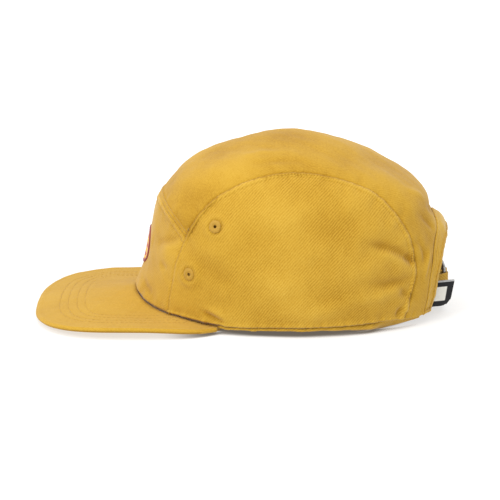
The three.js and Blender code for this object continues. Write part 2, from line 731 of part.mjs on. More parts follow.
// The tab is a loop round the outer bar of the buckle on the wearer's left.
function strapTab() {
  const corner = Math.SQRT1_2 * pass;
  const route = [
    beltAt(tabSewnAround, -tabInset),
    beltAt(archSideAround, -tabInset),
    beltAt(pastArchAround, -0.45 * tabInset),
    atBuckle(buckleSide + buckleWire, 0.8 * pass),
    atBuckle(buckleSide, pass),
    atBuckle(buckleSide - corner, corner),
    atBuckle(buckleSide - pass, 0),
    atBuckle(buckleSide - corner, -corner),
    atBuckle(buckleSide, -pass),
    beltAt(tabPastArchAround, -0.9 * pass),
    beltAt(tabEndAround, -0.5 * tabInset - 1.1 * ply),
  ];
  return piece('strap_tab', ribbon(route, strapWall, strapBottom, strapWidth), 'twill');
}

// A rectangle with round corners, as a shape or as a window in one
function roundedBox(path, left, bottom, right, top, corner) {
  path.moveTo(left + corner, bottom);
  path.lineTo(right - corner, bottom);
  path.absarc(right - corner, bottom + corner, corner, -Math.PI / 2, 0, false);
  path.lineTo(right, top - corner);
  path.absarc(right - corner, top - corner, corner, 0, Math.PI / 2, false);
  path.lineTo(left + corner, top);
  path.absarc(left + corner, top - corner, corner, Math.PI / 2, Math.PI, false);
  path.lineTo(left, bottom + corner);
  path.absarc(left + corner, bottom + corner, corner, Math.PI, 1.5 * Math.PI, false);
  return path;
}

function buckle() {
  const bevel = buckleWire * 0.25;
  const half = { x: buckleWidth / 2 - bevel, z: buckleHeight / 2 - bevel };
  const wire = buckleWire - 2 * bevel;
  const outline = roundedBox(new THREE.Shape(), -half.x, -half.z, half.x, half.z, buckleCorner);
  const bar = buckleBar / 2;
  for (const side of [-1, 1]) {
    const near = side > 0 ? bar : -half.x + wire;
    const far = side > 0 ? half.x - wire : -bar;
    outline.holes.push(roundedBox(new THREE.Path(), near, -half.z + wire, far, half.z - wire, buckleCorner / 2));
  }
  const geometry = new THREE.ExtrudeGeometry(outline, {
    depth: wire,
    bevelThickness: bevel,
    bevelSize: bevel,
    bevelSegments: 1,
    curveSegments: 3,
  });
  geometry.translate(0, 0, -wire / 2);
  const mesh = piece('buckle', geometry, 'metal');
  mesh.rotation.x = Math.PI / 2;
  mesh.position.set(0, buckleOut, strapMiddle);
  return mesh;
}

// The label is folded double and sewn in behind the edge of the arch; it leans with that edge.
function sideLabel() {
  const edge = beltAt(labelEdgeAround, -labelInset);
  const beyond = (swing, length) => new THREE.Vector2(
    edge.x - length * Math.sin(degrees(swing)),
    edge.y + length * Math.cos(degrees(swing)),
  );
  const route = new THREE.SplineCurve([
    beltAt(labelFootAround, -labelInset),
    edge,
    beyond(labelSwing, 0.5 * labelLength),
    beyond(labelEndSwing, 1.25 * labelLength),
  ]);
  const whole = route.getLength();
  const sewn = edge.distanceTo(route.points[0]) - labelSewn;
  const skins = [[], []];
  for (const rise of [-labelHeight / 2, labelHeight / 2]) {
    for (let i = 0; i <= labelSteps; i++) {
      const along = sewn + (labelSewn + labelLength) * i / labelSteps + Math.tan(degrees(labelTilt)) * rise;
      const point = route.getPointAt(along / whole);
      const heading = route.getTangentAt(along / whole);
      const out = new THREE.Vector2(heading.y, -heading.x).multiplyScalar(labelWall / 2);
      skins[0].push(new THREE.Vector3(point.x + out.x, point.y + out.y, strapMiddle + rise));
      skins[1].push(new THREE.Vector3(point.x - out.x, point.y - out.y, strapMiddle + rise));
    }
  }
  return piece('side_label', closeSkins(skins[0], skins[1], gridTriangles(2, labelSteps + 1)), 'labelCloth');
}

const cap = new THREE.Group();
cap.add(frontPanel(), topPanel(), backPanel());
cap.add(sidePanel('side_panel_left', 1), sidePanel('side_panel_right', -1));
cap.add(brim(), sweatband(), strap(), strapTab(), buckle(), sideLabel(), frontPatch());
for (const eyelet of eyelets) {
  cap.add(eyeletRing('eyelet_left_' + eyelet.name, eyelet, 1));
  cap.add(eyeletRing('eyelet_right_' + eyelet.name, eyelet, -1));
}

// The origin lies on the surface, under the middle of the whole cap.
const box = new THREE.Box3().setFromObject(cap);
cap.position.set(0, -(box.min.y + box.max.y) / 2, -box.min.z);

export default cap;
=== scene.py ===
"""A washed cotton five panel cap: panels, stitched brim, sweatband, strap, buckle, patch and label."""
import math
from contextlib import contextmanager

import bpy
import numpy as np
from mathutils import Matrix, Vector
from mathutils.bvhtree import BVHTree
from mathutils.geometry import convex_hull_2d
from mathutils.kdtree import KDTree


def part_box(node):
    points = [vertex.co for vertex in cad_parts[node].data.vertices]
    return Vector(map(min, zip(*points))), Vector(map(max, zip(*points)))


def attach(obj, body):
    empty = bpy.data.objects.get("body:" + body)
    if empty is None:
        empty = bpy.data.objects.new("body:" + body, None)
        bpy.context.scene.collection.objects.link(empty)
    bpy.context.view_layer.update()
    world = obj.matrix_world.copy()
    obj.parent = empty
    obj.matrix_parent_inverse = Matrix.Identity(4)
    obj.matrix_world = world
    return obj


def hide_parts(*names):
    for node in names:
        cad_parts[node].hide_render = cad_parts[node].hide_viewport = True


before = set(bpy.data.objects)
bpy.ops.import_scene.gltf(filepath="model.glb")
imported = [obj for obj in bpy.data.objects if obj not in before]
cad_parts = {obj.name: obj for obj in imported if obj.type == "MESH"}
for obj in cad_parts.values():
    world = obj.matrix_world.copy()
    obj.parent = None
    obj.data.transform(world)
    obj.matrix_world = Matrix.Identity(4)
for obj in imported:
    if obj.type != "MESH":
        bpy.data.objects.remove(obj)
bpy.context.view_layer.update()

# One millimetre in metres. Shapes are worked out in millimetres and stored in metres.
MM = 0.001
# A full turn in radians.
TURN = 2 * math.pi

# Names of the cap's own pieces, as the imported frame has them.
PANELS = ["front_panel", "top_panel", "back_panel", "side_panel_left", "side_panel_right"]
EYELETS = ["eyelet_left_upper", "eyelet_left_lower", "eyelet_right_upper", "eyelet_right_lower"]

# Camera: the photograph's own view, 500 by 500 pixels.
PHOTO_SIZE = 500
CAMERA_TARGET = (0.0, 3.66, 38.52)
CAMERA_ELEVATION = 12.5
CAMERA_DISTANCE = 1500.0
CAMERA_LENS = 163.6
SENSOR = 36.0

# Cloth and sewing sizes in millimetres.
CLOTH = 1.1
STITCH_PITCH = 3.0
STITCH_LENGTH = 2.3
THREAD = 0.2
BRIM_THREAD = 0.14
THREAD_SPREAD = 1.25
THREAD_SINK = 0.05
TOPSTITCH_IN = 3.2
FRONT_STITCH_IN = 3.6
HEM_STITCH_IN = 4.6
ARCH_STITCH_IN = 3.4
BACK_STITCH_IN = 2.4
BRIM_ROWS = (15.4, 20.9, 26.8, 32.1)
BRIM_ROW_END = 28.0
TUCK = 3.2
HEM_ZONE = 13.0
BRIM_SHADOW_GAP = 0.9
BRIM_SHADOW_REACH = 5.0

# Eyelets in millimetres: the thread ring, the cut in the cloth and how far round them the cloth is fitted.
EYELET_RADIUS = 4.0
EYELET_HOLE = 0.95
EYELET_CUT = 1.35
EYELET_CUT_DEPTH = 6.0
EYELET_HOLE_RIM = 3.4
EYELET_PROBE = 4.2
EYELET_FITTED = (7.5, 11.0)
EYELET_ROUND = (9.0, 15.0)
EYELET_GROOVE = (-0.95, EYELET_RADIUS + 0.4, 1.1)
EYELET_THREADS = 20

# How a mesh is made finer: levels of subdivision, and how near to an edge its cells are halved, in mm.
FINE_LEVELS = 3
FINE_EDGE = 3.3
FINE_EDGE_TOP = 1.6
EDGE_SPACING = 0.3
SEWN_WITHIN = 1.1
SKIN_FACING = 0.7
SKIN_BREAK = 50
NO_EDGE = 1e3

# Each panel's outward way, the ways that its cloth's U and V run, and the neighbours over and under which
# it is sewn.
PANEL_CUTS = {
    "side_panel_left": (
        (1, 0, 0), (0, 1, 0), (0, 0, 1), ("top_panel", "front_panel", "back_panel"), (),
    ),
    "side_panel_right": (
        (-1, 0, 0), (0, -1, 0), (0, 0, 1), ("top_panel", "front_panel", "back_panel"), (),
    ),
    "top_panel": (
        (0, 0, 1), (0, 1, 0), (-1, 0, 0),
        ("front_panel",), ("side_panel_left", "side_panel_right", "back_panel"),
    ),
    "front_panel": (
        (0, -1, 0), (1, 0, 0), (0, 0, 1), (), ("side_panel_left", "side_panel_right", "top_panel"),
    ),
    "back_panel": (
        (0, 1, 0), (-1, 0, 0), (0, 0, 1), ("top_panel", "side_panel_left", "side_panel_right"), (),
    ),
}

# Slow unevenness of the washed cloth: height and wavelength in mm, and the seed of its random draws.
SOFT_WAVES = ((0.38, 46, 5), (0.12, 13, 9))
# Beside the arch's seam the cloth is stiff: the share of the folds that stays, and where they come back.
STIFF_SHARE = 0.15
STIFF_BY_ARCH = (0.5, 7.0)

# Ridges and grooves beside seams and hems: height, distance from the edge and width, in mm.
STITCH_GROOVE = (-0.45, 0.0, 0.55)
FOLD_GROOVE = (-0.8, 0.0, 0.4)
UNDER_GROOVE = (-0.75, 0.0, 1.0)
HEM_STAND = (0.55, 0.9, 1.2)
HEM_STITCH_GROOVE = (-0.12, HEM_STITCH_IN, 0.7)
HEM_GROOVE = (-0.45, 0.0, 0.35)
BRIM_SEAM_GROOVE = (-0.7, 0.0, 0.7)
# The folded side's thickness, and where it ends beyond and inside its stitches, in mm.
FOLD_HEIGHT = 0.5
FOLD_STEP = (0.5, -0.6)
# Puckers: height, length along the seam, distance from the edge or the stitches, and width, in mm.
FOLD_PUCKER = (0.24, 12.0, 1.6, 4.0)
EDGE_PUCKER = (0.16, 5.4, 1.2, 1.6)
UNDER_PUCKER = (0.3, 11.0, 3.0, 4.5)
ARCH_PUCKER = (0.2, 11.0, 3.0, 4.5)
HEM_PUCKER = (0.34, 8.0, 1.8, 3.0)
HEM_RIPPLE = (0.2, 4.1, 0.8, 1.4)
BRIM_SEAM_PUCKER = (0.25, 14.0, 3.0, 5.0)
# Low at the front the side's seam is flatter: by this share, below these heights and ahead of this place.
LOW_FRONT_SHARE = 0.6
LOW_FRONT_HEIGHT = (66, 52)
LOW_FRONT_AHEAD = (0, -25)
# The step over the rear arch: where it begins behind and ends across, the arch's rise and the dip above it.
SHOULDER_BEHIND = (106, 117)
SHOULDER_ACROSS = (42, 26)
SHOULDER_RIDGES = ((1.1, 60, 6), (-1.2, 71, 5))

# How much deeper than measured the creases are made, as the photograph's light is soft.
CREASE_STRENGTH = 1.45
# On the other side they are moved by up to this many mm, and are this share as deep.
CREASE_SHIFT = 3
CREASE_SHARE = (0.6, 1.0)
CREASE_SPACING = 0.6
CREASE_SEED = 11
# How far from the eyelets' middles and from the patch the cloth lies flat, and where its folds are full.
FLAT_BY_EYELET = (5.0, 9.0)
FLAT_BY_PATCH = (1.5, 6.0)

# Creases of the cloth where the photograph shows them.
# Each row: path in photograph pixels, half width in mm, height in mm (a crease is below zero).
CREASES = [
    ([(366, 243), (385, 247), (400, 252), (412, 259)], 2.6, -1.3),
    ([(376, 253), (392, 258), (412, 268)], 3.2, 0.9),
    ([(404, 256), (411, 260.5), (416, 259)], 2.8, -1.3),
    ([(366, 284), (385, 285), (404, 281), (414, 279)], 3.0, -1.1),
    ([(357, 302), (378, 298), (405, 287)], 3.6, 0.8),
    ([(401, 289), (405, 293), (409, 297)], 2.6, -1.0),
    ([(409, 299), (413, 294)], 1.8, -1.2),
    ([(403, 306), (399, 312), (396, 319)], 1.8, -1.2),
    ([(408, 306), (404, 314)], 2.2, 0.7),
    ([(300, 321), (322, 313), (348, 303)], 5.0, 0.6),
    ([(156, 243), (168, 240), (181, 238)], 3.0, -0.8),
    ([(163, 250), (175, 247), (187, 243)], 3.2, 0.5),
    ([(160, 263), (168, 269)], 3.0, -0.6),
    ([(143, 279), (146, 287), (152, 295)], 2.8, -0.8),
    ([(201, 312), (212, 317), (224, 323)], 1.8, -1.3),
    ([(206, 309), (218, 314), (228, 320)], 2.4, 0.6),
    ([(240, 158), (262, 152), (290, 152)], 4.0, 0.5),
    ([(250, 165), (280, 160), (306, 162)], 3.4, -0.5),
    ([(406, 189), (416, 193), (425, 197)], 3.4, 0.8),
    ([(424, 209), (432, 217), (440, 226)], 2.8, 0.8),
    ([(420, 214), (428, 222), (435, 232)], 2.6, -0.9),
    ([(418, 240), (424, 252), (426, 266)], 2.2, -0.7),
    ([(430, 246), (427, 262), (424, 280)], 2.2, 0.8),
    ([(436, 247), (432, 262), (428, 276)], 1.8, -1.0),
]


# Selecting and editing

def alone(piece):
    """Makes a piece the only one selected, and the active one."""
    bpy.ops.object.select_all(action="DESELECT")
    piece.hide_set(False)
    piece.select_set(True)
    bpy.context.view_layer.objects.active = piece


@contextmanager
def editing(piece, mode="FACE"):
    """Edit mode on one piece."""
    alone(piece)
    bpy.ops.object.mode_set(mode="EDIT")
    bpy.ops.mesh.select_mode(type=mode)
    yield
    bpy.ops.object.mode_set(mode="OBJECT")


def pick(piece, verts=(), edges=(), faces=()):
    """Selects just these parts of a piece's mesh."""
    mesh = piece.data
    for parts, chosen in ((mesh.vertices, verts), (mesh.edges, edges), (mesh.polygons, faces)):
        marks = np.zeros(len(parts), dtype=bool)
        marks[list(chosen)] = True
        parts.foreach_set("select", marks)


def points_of(piece):
    """A mesh's points in millimetres, a row each."""
    flat = np.empty(len(piece.data.vertices) * 3)
    piece.data.vertices.foreach_get("co", flat)
    return flat.reshape(-1, 3) / MM


def normals_of(piece):
    """A mesh's normals at its points, a row each."""
    flat = np.empty(len(piece.data.vertices) * 3)
    piece.data.vertices.foreach_get("normal", flat)
    return flat.reshape(-1, 3)


def put(piece, points):
    """Moves a mesh's points to these places in millimetres."""
    piece.data.vertices.foreach_set("co", (points * MM).ravel())
    piece.data.update()


def apply_modifier(piece, kind, **settings):
    """Adds one modifier, sets it and applies it."""
    alone(piece)
    made = piece.modifiers.new(kind.lower(), kind)
    for key, value in settings.items():
        setattr(made, key, value)
    bpy.ops.object.modifier_apply(modifier=made.name)


def subdivide(piece, levels):
    """Smooth subdivision, applied, that keeps a sheet's corners."""
    apply_modifier(
        piece, "SUBSURF", levels=levels, render_levels=levels, boundary_smooth="PRESERVE_CORNERS"
    )


def smooth(piece, angle=180):
    """Smooth shading, with edges sharper than the angle kept sharp."""
    alone(piece)
    if angle >= 180:
        bpy.ops.object.shade_smooth()
    else:
        bpy.ops.object.shade_smooth_by_angle(angle=math.radians(angle))


def new_piece(name, verts, faces):
    """A mesh object from points in millimetres and faces."""
    mesh = bpy.data.meshes.new(name)
    mesh.from_pydata((np.asarray(verts) * MM).tolist(), [], faces)
    mesh.update()
    piece = bpy.data.objects.new(name, mesh)
    bpy.context.collection.objects.link(piece)
    return piece


def copy_of(node, name):
    """A merged copy of a solid's mesh, as quads where its triangles pair up."""
    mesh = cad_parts[node].data.copy()
    mesh.name = name
    mesh.materials.clear()
    piece = bpy.data.objects.new(name, mesh)
    bpy.context.collection.objects.link(piece)
    with editing(piece):
        bpy.ops.mesh.select_all(action="SELECT")
        bpy.ops.mesh.remove_doubles(threshold=1e-6)
        bpy.ops.mesh.customdata_custom_splitnormals_clear()
        bpy.ops.mesh.faces_shade_smooth()
    return piece


def as_quads(piece):
    """Joins pairs of triangles into quads."""
    with editing(piece):
        bpy.ops.mesh.select_all(action="SELECT")
        bpy.ops.mesh.tris_convert_to_quads(
            face_threshold=math.radians(60), shape_threshold=math.radians(80)
        )


def smooth_copy(node, name, angle, weight):
    """A copy of a solid as quads, made finer, with the edges sharper than the angle kept firm."""
    piece = copy_of(node, name)
    as_quads(piece)
    piece.data.attributes.new("crease_edge", "FLOAT", "EDGE")
    with editing(piece, "EDGE"):
        bpy.ops.mesh.select_all(action="DESELECT")
        bpy.ops.mesh.edges_select_sharp(sharpness=math.radians(angle))
    sharp = np.zeros(len(piece.data.edges), dtype=bool)
    piece.data.edges.foreach_get("select", sharp)
    piece.data.attributes["crease_edge"].data.foreach_set("value", sharp * weight)
    subdivide(piece, FINE_LEVELS)
    return piece


def halve_cells(piece, chosen):
    """Halves the cells whose points are all chosen."""
    faces = [
        face.index for face in piece.data.polygons if all(chosen[vert] for vert in face.vertices)
    ]
    pick(piece, faces=faces)
    with editing(piece):
        bpy.ops.mesh.subdivide(number_cuts=1, quadcorner="INNERVERT")


def corners_of(piece):
    """The point that each corner of each face uses."""
    corners = np.empty(len(piece.data.loops), dtype=int)
    piece.data.loops.foreach_get("vertex_index", corners)
    return corners


def set_field(piece, name, values):
    """Stores one number a point, for the material to read."""
    layer = piece.data.attributes.new(name, "FLOAT", "POINT")
    layer.data.foreach_set("value", values)


def dress(piece, material, node=None, angle=180):
    """Gives a piece its shading and finish, and puts it in place of a node of the frame."""
    smooth(piece, angle)
    piece.data.materials.append(material)
    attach(piece, "root")
    if node:
        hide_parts(node)


def surface(piece):
    """A search tree of a piece's surface, in millimetres."""
    points = [Vector(point) for point in points_of(piece)]
    return BVHTree.FromPolygons(points, [tuple(face.vertices) for face in piece.data.polygons])


def near_tree(places):
    """A search tree of separate points."""
    tree = KDTree(len(places))
    for i, place in enumerate(places):
        tree.insert(place, i)
    tree.balance()
    return tree


def middle_of(node):
    """The middle of a node's box, in millimetres."""
    low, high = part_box(node)
    return (np.array(low) + np.array(high)) / 2 / MM


solids = {node: surface(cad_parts[node]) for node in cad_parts}


# The photograph's view

def camera_frame():
    """Where the camera is, its right, its up and its way forward, in millimetres."""
    tilt = math.radians(CAMERA_ELEVATION)
    back = Vector((math.cos(tilt), 0, math.sin(tilt)))
    place = Vector(CAMERA_TARGET) + back * CAMERA_DISTANCE
    right = Vector((0, 1, 0))
    return place, right, back.cross(right), -back


def seen_at(across, down):
    """The point of the cap that the photograph shows at a pixel, in millimetres."""
    place, right, up, forward = camera_frame()
    middle = PHOTO_SIZE / 2
    reach = CAMERA_LENS / SENSOR * PHOTO_SIZE
    way = (forward * reach + right * (across - middle) + up * (middle - down)).normalized()
    hits = [solids[node].ray_cast(place, way) for node in PANELS + ["brim"]]
    hits = [hit for hit in hits if hit[0] is not None]
    return min(hits, key=lambda hit: hit[3])[0] if hits else None


# Cloth sheets and their edges

def outer_skin(node, name, facing):
    """The outside face of a cloth solid as one sheet of quads, without its eyelet holes."""
    piece = copy_of(node, name)
    way = Vector(facing).normalized()
    faces = [face for face in piece.data.polygons if face.normal.dot(way) > SKIN_FACING]
    seed = max(faces, key=lambda face: face.center.dot(way))
    pick(piece, faces=[seed.index])
    with editing(piece):
        bpy.ops.mesh.faces_select_linked_flat(sharpness=math.radians(SKIN_BREAK))
        bpy.ops.mesh.select_all(action="INVERT")
        bpy.ops.mesh.delete(type="FACE")
    close_holes(piece)
    as_quads(piece)
    return piece


def close_holes(piece):
    """Closes each eyelet's hole in the coarse sheet, with its cells made one face."""
    for eyelet in EYELETS:
        gaps = np.linalg.norm(points_of(piece) - middle_of(eyelet), axis=1)
        near = np.flatnonzero(gaps < EYELET_HOLE_RIM).tolist()
        if len(near) < 6:
            continue
        pick(piece, verts=near)
        with editing(piece, "VERT"):
            bpy.ops.mesh.edge_face_add()
        pick(piece, faces=[face.index for face in piece.data.polygons if set(face.vertices) & set(near)])
        with editing(piece):
            bpy.ops.mesh.dissolve_faces(use_verts=True)


def lay_flat(piece, along, up):
    """Unwraps a sheet to its cut shape at real size, in metres, turned so that U runs along and V up."""
    with editing(piece):
        bpy.ops.mesh.select_all(action="SELECT")
        bpy.ops.uv.unwrap(method="ANGLE_BASED", margin=0)
    mesh = piece.data
    layer = mesh.uv_layers.active
    uv = np.empty(len(mesh.loops) * 2)
    layer.uv.foreach_get("vector", uv)
    uv = uv.reshape(-1, 2)
    places = points_of(piece)[corners_of(piece)] * MM
    want = np.stack([places @ np.array(along), places @ np.array(up)], axis=1)
    flat = uv - uv.mean(axis=0)
    left, _, right = np.linalg.svd(flat.T @ (want - want.mean(axis=0)))
    turned = flat @ left @ right
    uv_area = 0.0
    for face in mesh.polygons:
        ring = turned[list(face.loop_indices)]
        after = np.roll(ring, -1, axis=0)
        uv_area += abs(np.sum(ring[:, 0] * after[:, 1] - ring[:, 1] * after[:, 0])) / 2
    turned *= math.sqrt(sum(face.area for face in mesh.polygons) / uv_area)
    layer.uv.foreach_set("vector", turned.ravel())


def rim_of(piece):
    """The outer edge of a sheet: its longest closed run of points."""
    uses = {}
    for face in piece.data.polygons:
        for key in face.edge_keys:
            uses[key] = uses.get(key, 0) + 1
    beside = {}
    for key, count in uses.items():
        if count == 1:
            beside.setdefault(key[0], []).append(key[1])
            beside.setdefault(key[1], []).append(key[0])
    runs = []
    left = set(beside)
    while left:
        run = [left.pop()]
        while True:
            onward = [vert for vert in beside[run[-1]] if vert in left]
            if not onward:
                break
            run.append(onward[0])
            left.discard(onward[0])
        runs.append(run)
    return max(runs, key=len)


def edge_kinds(points, own):
    """For each point of an edge, the piece that it is sewn to, or open."""
    others = [node for node in PANELS + ["brim"] if node != own]
    kinds = []
    for point in points:
        best = ("open", SEWN_WITHIN)
        for node in others:
            gap = solids[node].find_nearest(Vector(point))[3]
            if gap < best[1]:
                best = (node, gap)
        kinds.append(best[0])
    return kinds


class Edges:
    """The edge of a sheet, sorted by what each stretch is sewn to."""

    def __init__(self, piece, own):
        self.piece = piece
        self.rim = rim_of(piece)
        self.points = points_of(piece)
        ring = self.points[self.rim]
        self.kinds = edge_kinds(ring, own)
        self.normals = normals_of(piece)[self.rim]
        ahead = np.roll(ring, -1, axis=0)
        behind = np.roll(ring, 1, axis=0)
        self.steps = np.linalg.norm(ahead - ring, axis=1)
        self.along = np.concatenate([[0], np.cumsum(self.steps)[:-1]])
        ways = ahead - behind
        self.ways = ways / np.linalg.norm(ways, axis=1)[:, None]
        inward = np.cross(self.normals, self.ways)
        middle = self.points.mean(axis=0) - ring
        inner = self.inner_side(ring)
        signs = np.sign(np.sum(inward * inner, axis=1))
        signs[signs == 0] = np.sign(np.sum(inward * middle, axis=1))[signs == 0]
        self.inward = inward * signs[:, None]

    def inner_side(self, ring):
        """From each edge point towards the sheet beside it."""
        order = {vert: i for i, vert in enumerate(self.rim)}
        inner = np.zeros_like(ring)
        for face in self.piece.data.polygons:
            for vert in face.vertices:
                if vert in order:
                    centre = np.array(face.center) / MM
                    inner[order[vert]] += centre - ring[order[vert]]
        return inner

    def starts(self, kinds):
        """The edge points from which the edge runs on to the next point in these kinds."""
        after = self.kinds[1:] + self.kinds[:1]
        return [i for i, pair in enumerate(zip(self.kinds, after)) if set(pair) <= set(kinds)]

    def run(self, *kinds):
        """Closely spaced points of the stretches of these kinds, with their length along the edge."""
        places = []
        lengths = []
        ring = self.points[self.rim]
        for i in self.starts(kinds):
            j = (i + 1) % len(ring)
            parts = max(1, int(self.steps[i] / EDGE_SPACING))
            for part in range(parts):
                share = part / parts
                places.append(ring[i] * (1 - share) + ring[j] * share)
                lengths.append(self.along[i] + self.steps[i] * share)
        return np.array(places), np.array(lengths)

    def away(self, points, *kinds):
        """Each point's distance to the stretches of these kinds, and the length along them there."""
        return away_from(points, self.run(*kinds))


def away_from(points, run):
    """Each point's distance to a run, and the length along the run there."""
    places, lengths = run
    if len(places) == 0:
        return np.full(len(points), NO_EDGE), np.zeros(len(points))
    tree = near_tree(places)
    found = [tree.find(point)[1:] for point in points]
    gaps = np.array([gap for _, gap in found])
    return gaps, lengths[[i for i, _ in found]]


# Height fields of sewn cloth, in millimetres

def bell(gap, middle, width):
    """1 at the middle, falling off smoothly on both sides."""
    return np.exp(-(((gap - middle) / width) ** 2))


def ease(value, start, end):
    """0 at the start and 1 at the end, with a smooth step between."""
    share = np.clip((value - start) / (end - start), 0, 1)
    return share * share * (3 - 2 * share)


def ripple(along, wavelength, seed):
    """An uneven wave along a length, from -1 to 1."""
    luck = np.random.default_rng(seed)
    total = np.zeros_like(along)
    for factor, size in ((1.0, 0.5), (0.62, 0.3), (1.7, 0.35)):
        phase = luck.uniform(0, TURN)
        total += size * np.sin(TURN * along / (wavelength * factor) + phase)
    return total


def swell(points, wavelength, seed, count=9):
    """An uneven wave through space, from about -1 to 1."""
    luck = np.random.default_rng(seed)
    total = np.zeros(len(points))
    for _ in range(count):
        way = luck.normal(size=3)
        way /= np.linalg.norm(way)
        size = wavelength * luck.uniform(0.7, 1.5)
        total += np.sin(points @ way * TURN / size + luck.uniform(0, TURN))
    return total / math.sqrt(count / 2)


def dimples(along, shift=0.0):
    """The pull of one stitch after another along a row, from 0.2 to 1."""
    return 0.6 + 0.4 * np.cos(TURN * along / STITCH_PITCH + shift)


def folded_seam(gap, along, stitch_in, seed):
    """The side of a seam that is folded over and topstitched."""
    beyond = gap - stitch_in
    height = FOLD_HEIGHT * ease(beyond, *FOLD_STEP) + ridge(beyond, *STITCH_GROOVE) * dimples(along)
    height += ridge(gap, *FOLD_GROOVE)
    return height + pucker(beyond, along, seed, *FOLD_PUCKER) + pucker(gap, along, seed + 1, *EDGE_PUCKER)


def under_seam(gap, along, seed):
    """The side of a seam that goes under its neighbour."""
    return ridge(gap, *UNDER_GROOVE) + pucker(gap, along, seed, *UNDER_PUCKER)


def ridge(gap, rise, middle, width):
    """A ridge along an edge, or a groove if its rise is below zero."""
    return rise * bell(gap, middle, width)


def pucker(gap, along, seed, rise, length, middle, width):
    """An uneven ridge along an edge."""
    return ridge(gap, rise, middle, width) * ripple(along, length, seed)


def swells(points, rows):
    """Several uneven waves: each one's height, its wavelength and the seed of its random draws."""
    return sum(rise * swell(points, length, seed) for rise, length, seed in rows)


def crease_runs():
    """The creases as closely spaced points on the cap, on the side that the photograph shows."""
    runs = []
    for path, width, rise in CREASES:
        seen = [seen_at(*pixel) for pixel in path]
        places = [np.array(place) for place in seen if place is not None]
        fine = []
        for start, end in zip(places[:-1], places[1:]):
            parts = max(2, int(np.linalg.norm(end - start) / CREASE_SPACING))
            fine += [start + (end - start) * part / parts for part in range(parts)]
        if len(fine) > 2:
            runs.append((np.array(fine), width, rise))
    return runs


creases = crease_runs()


def crease_height(points):
    """All creases of both sides of the cap."""
    total = np.zeros(len(points))
    luck = np.random.default_rng(CREASE_SEED)
    for side in (1, -1):
        for path, width, rise in creases:
            mirrored = path * np.array([side, 1, 1])
            depth = rise * CREASE_STRENGTH
            if side < 0:
                shift = luck.uniform(-CREASE_SHIFT, CREASE_SHIFT, size=3)
                mirrored = mirrored + shift * np.array([0, 1, 1])
                depth *= luck.uniform(*CREASE_SHARE)
            near = np.linalg.norm(points - mirrored.mean(axis=0), axis=1)
            length = np.linalg.norm(mirrored[-1] - mirrored[0])
            chosen = np.flatnonzero(near < length / 2 + width * 4)
            if len(chosen) == 0:
                continue
            shares = np.linspace(0, 1, len(mirrored))
            gaps, share = away_from(points[chosen], (mirrored, shares))
            taper = np.sin(math.pi * np.clip(share, 0.04, 0.96)) ** 0.7
            total[chosen] += depth * np.exp(-((gaps / width) ** 2)) * taper
    return total


def eyelet_dents(points):
    """The cloth drawn in round each eyelet."""
    total = np.zeros(len(points))
    for _, middle, _ in eyelet_spots:
        radius = np.linalg.norm(points - np.array(middle), axis=1)
        total += ridge(radius, *EYELET_GROOVE)
    return total


def calm(points):
    """0 under the patch and the eyelets, 1 away from them, so that the trim lies well."""
    total = np.ones(len(points))
    for node in EYELETS:
        total *= ease(np.linalg.norm(points - middle_of(node), axis=1), *FLAT_BY_EYELET)
    low, high = (np.array(corner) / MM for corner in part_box("front_patch"))
    beyond = np.maximum(np.maximum(low - points, points - high), 0)
    return total * ease(np.linalg.norm(beyond, axis=1), *FLAT_BY_PATCH)


def eyelet_places():
    """Each eyelet's name, middle and outward way, in millimetres."""
    places = []
    for node in EYELETS:
        centre = Vector(middle_of(node))
        side = "side_panel_left" if centre.x > 0 else "side_panel_right"
        outward = Vector((math.copysign(1, centre.x), 0, 0))
        hits = []
        for turn in range(12):
            angle = turn * math.pi / 6
            offset = Vector((0, math.cos(angle), math.sin(angle))) * EYELET_PROBE
            spot, normal, _, _ = solids[side].ray_cast(centre + offset + outward * 20, -outward)
            if spot is not None:
                hits.append((spot, normal))
        middle = sum((spot for spot, _ in hits), Vector()) / len(hits)
        way = sum((normal for _, normal in hits), Vector()).normalized()
        places.append((node, middle, way))
    return places


eyelet_spots = eyelet_places()


def bowl(points, basis):
    """The terms of a shallow bowl: a constant, both ways across, their squares and their product."""
    across, down = points @ basis[1], points @ basis[2]
    return np.stack([np.ones(len(points)), across, down, across**2, down**2, across * down], axis=1)


def over_eyelets(points):
    """Puts the points that bridge an eyelet's hole back on the curve of the cloth round it."""
    for _, middle, way in eyelet_spots:
        axis = np.array(way)
        near = np.linalg.norm(points - np.array(middle), axis=1)
        chosen = np.flatnonzero(near < EYELET_FITTED[1])
        if len(chosen) == 0:
            continue
        ring = points[(near > EYELET_ROUND[0]) & (near < EYELET_ROUND[1])]
        basis = np.linalg.svd(np.outer(axis, axis))[2]
        fit = np.linalg.lstsq(bowl(ring, basis), ring @ axis, rcond=None)[0]
        spots = points[chosen]
        share = 1 - ease(near[chosen], *EYELET_FITTED)
        points[chosen] += np.outer((bowl(spots, basis) @ fit - spots @ axis) * share, axis)
    return points


def cut_eyelets(piece):
    """Opens the cloth under each eyelet."""
    points = points_of(piece)
    gone = []
    for _, middle, way in eyelet_spots:
        offset = points - np.array(middle)
        radius = np.linalg.norm(offset - np.outer(offset @ np.array(way), np.array(way)), axis=1)
        close = (radius < EYELET_CUT) & (np.linalg.norm(offset, axis=1) < EYELET_CUT_DEPTH)
        gone += np.flatnonzero(close).tolist()
    if gone:
        pick(piece, verts=gone)
        with editing(piece, "VERT"):
            bpy.ops.mesh.delete(type="VERT")


# How far down and how far out each further row of points of an edge goes, in mm.
TUCKED = [(0.1, 0.45), (0.28, 1.3), (0.4, TUCK)]
TURNED = [(0.55, 0.06), (1.1, -0.12), (1.6, -0.75)]
SEWN_DOWN = [(0.5, 0.1), (1.2, 0.5), (1.6, 2.4)]


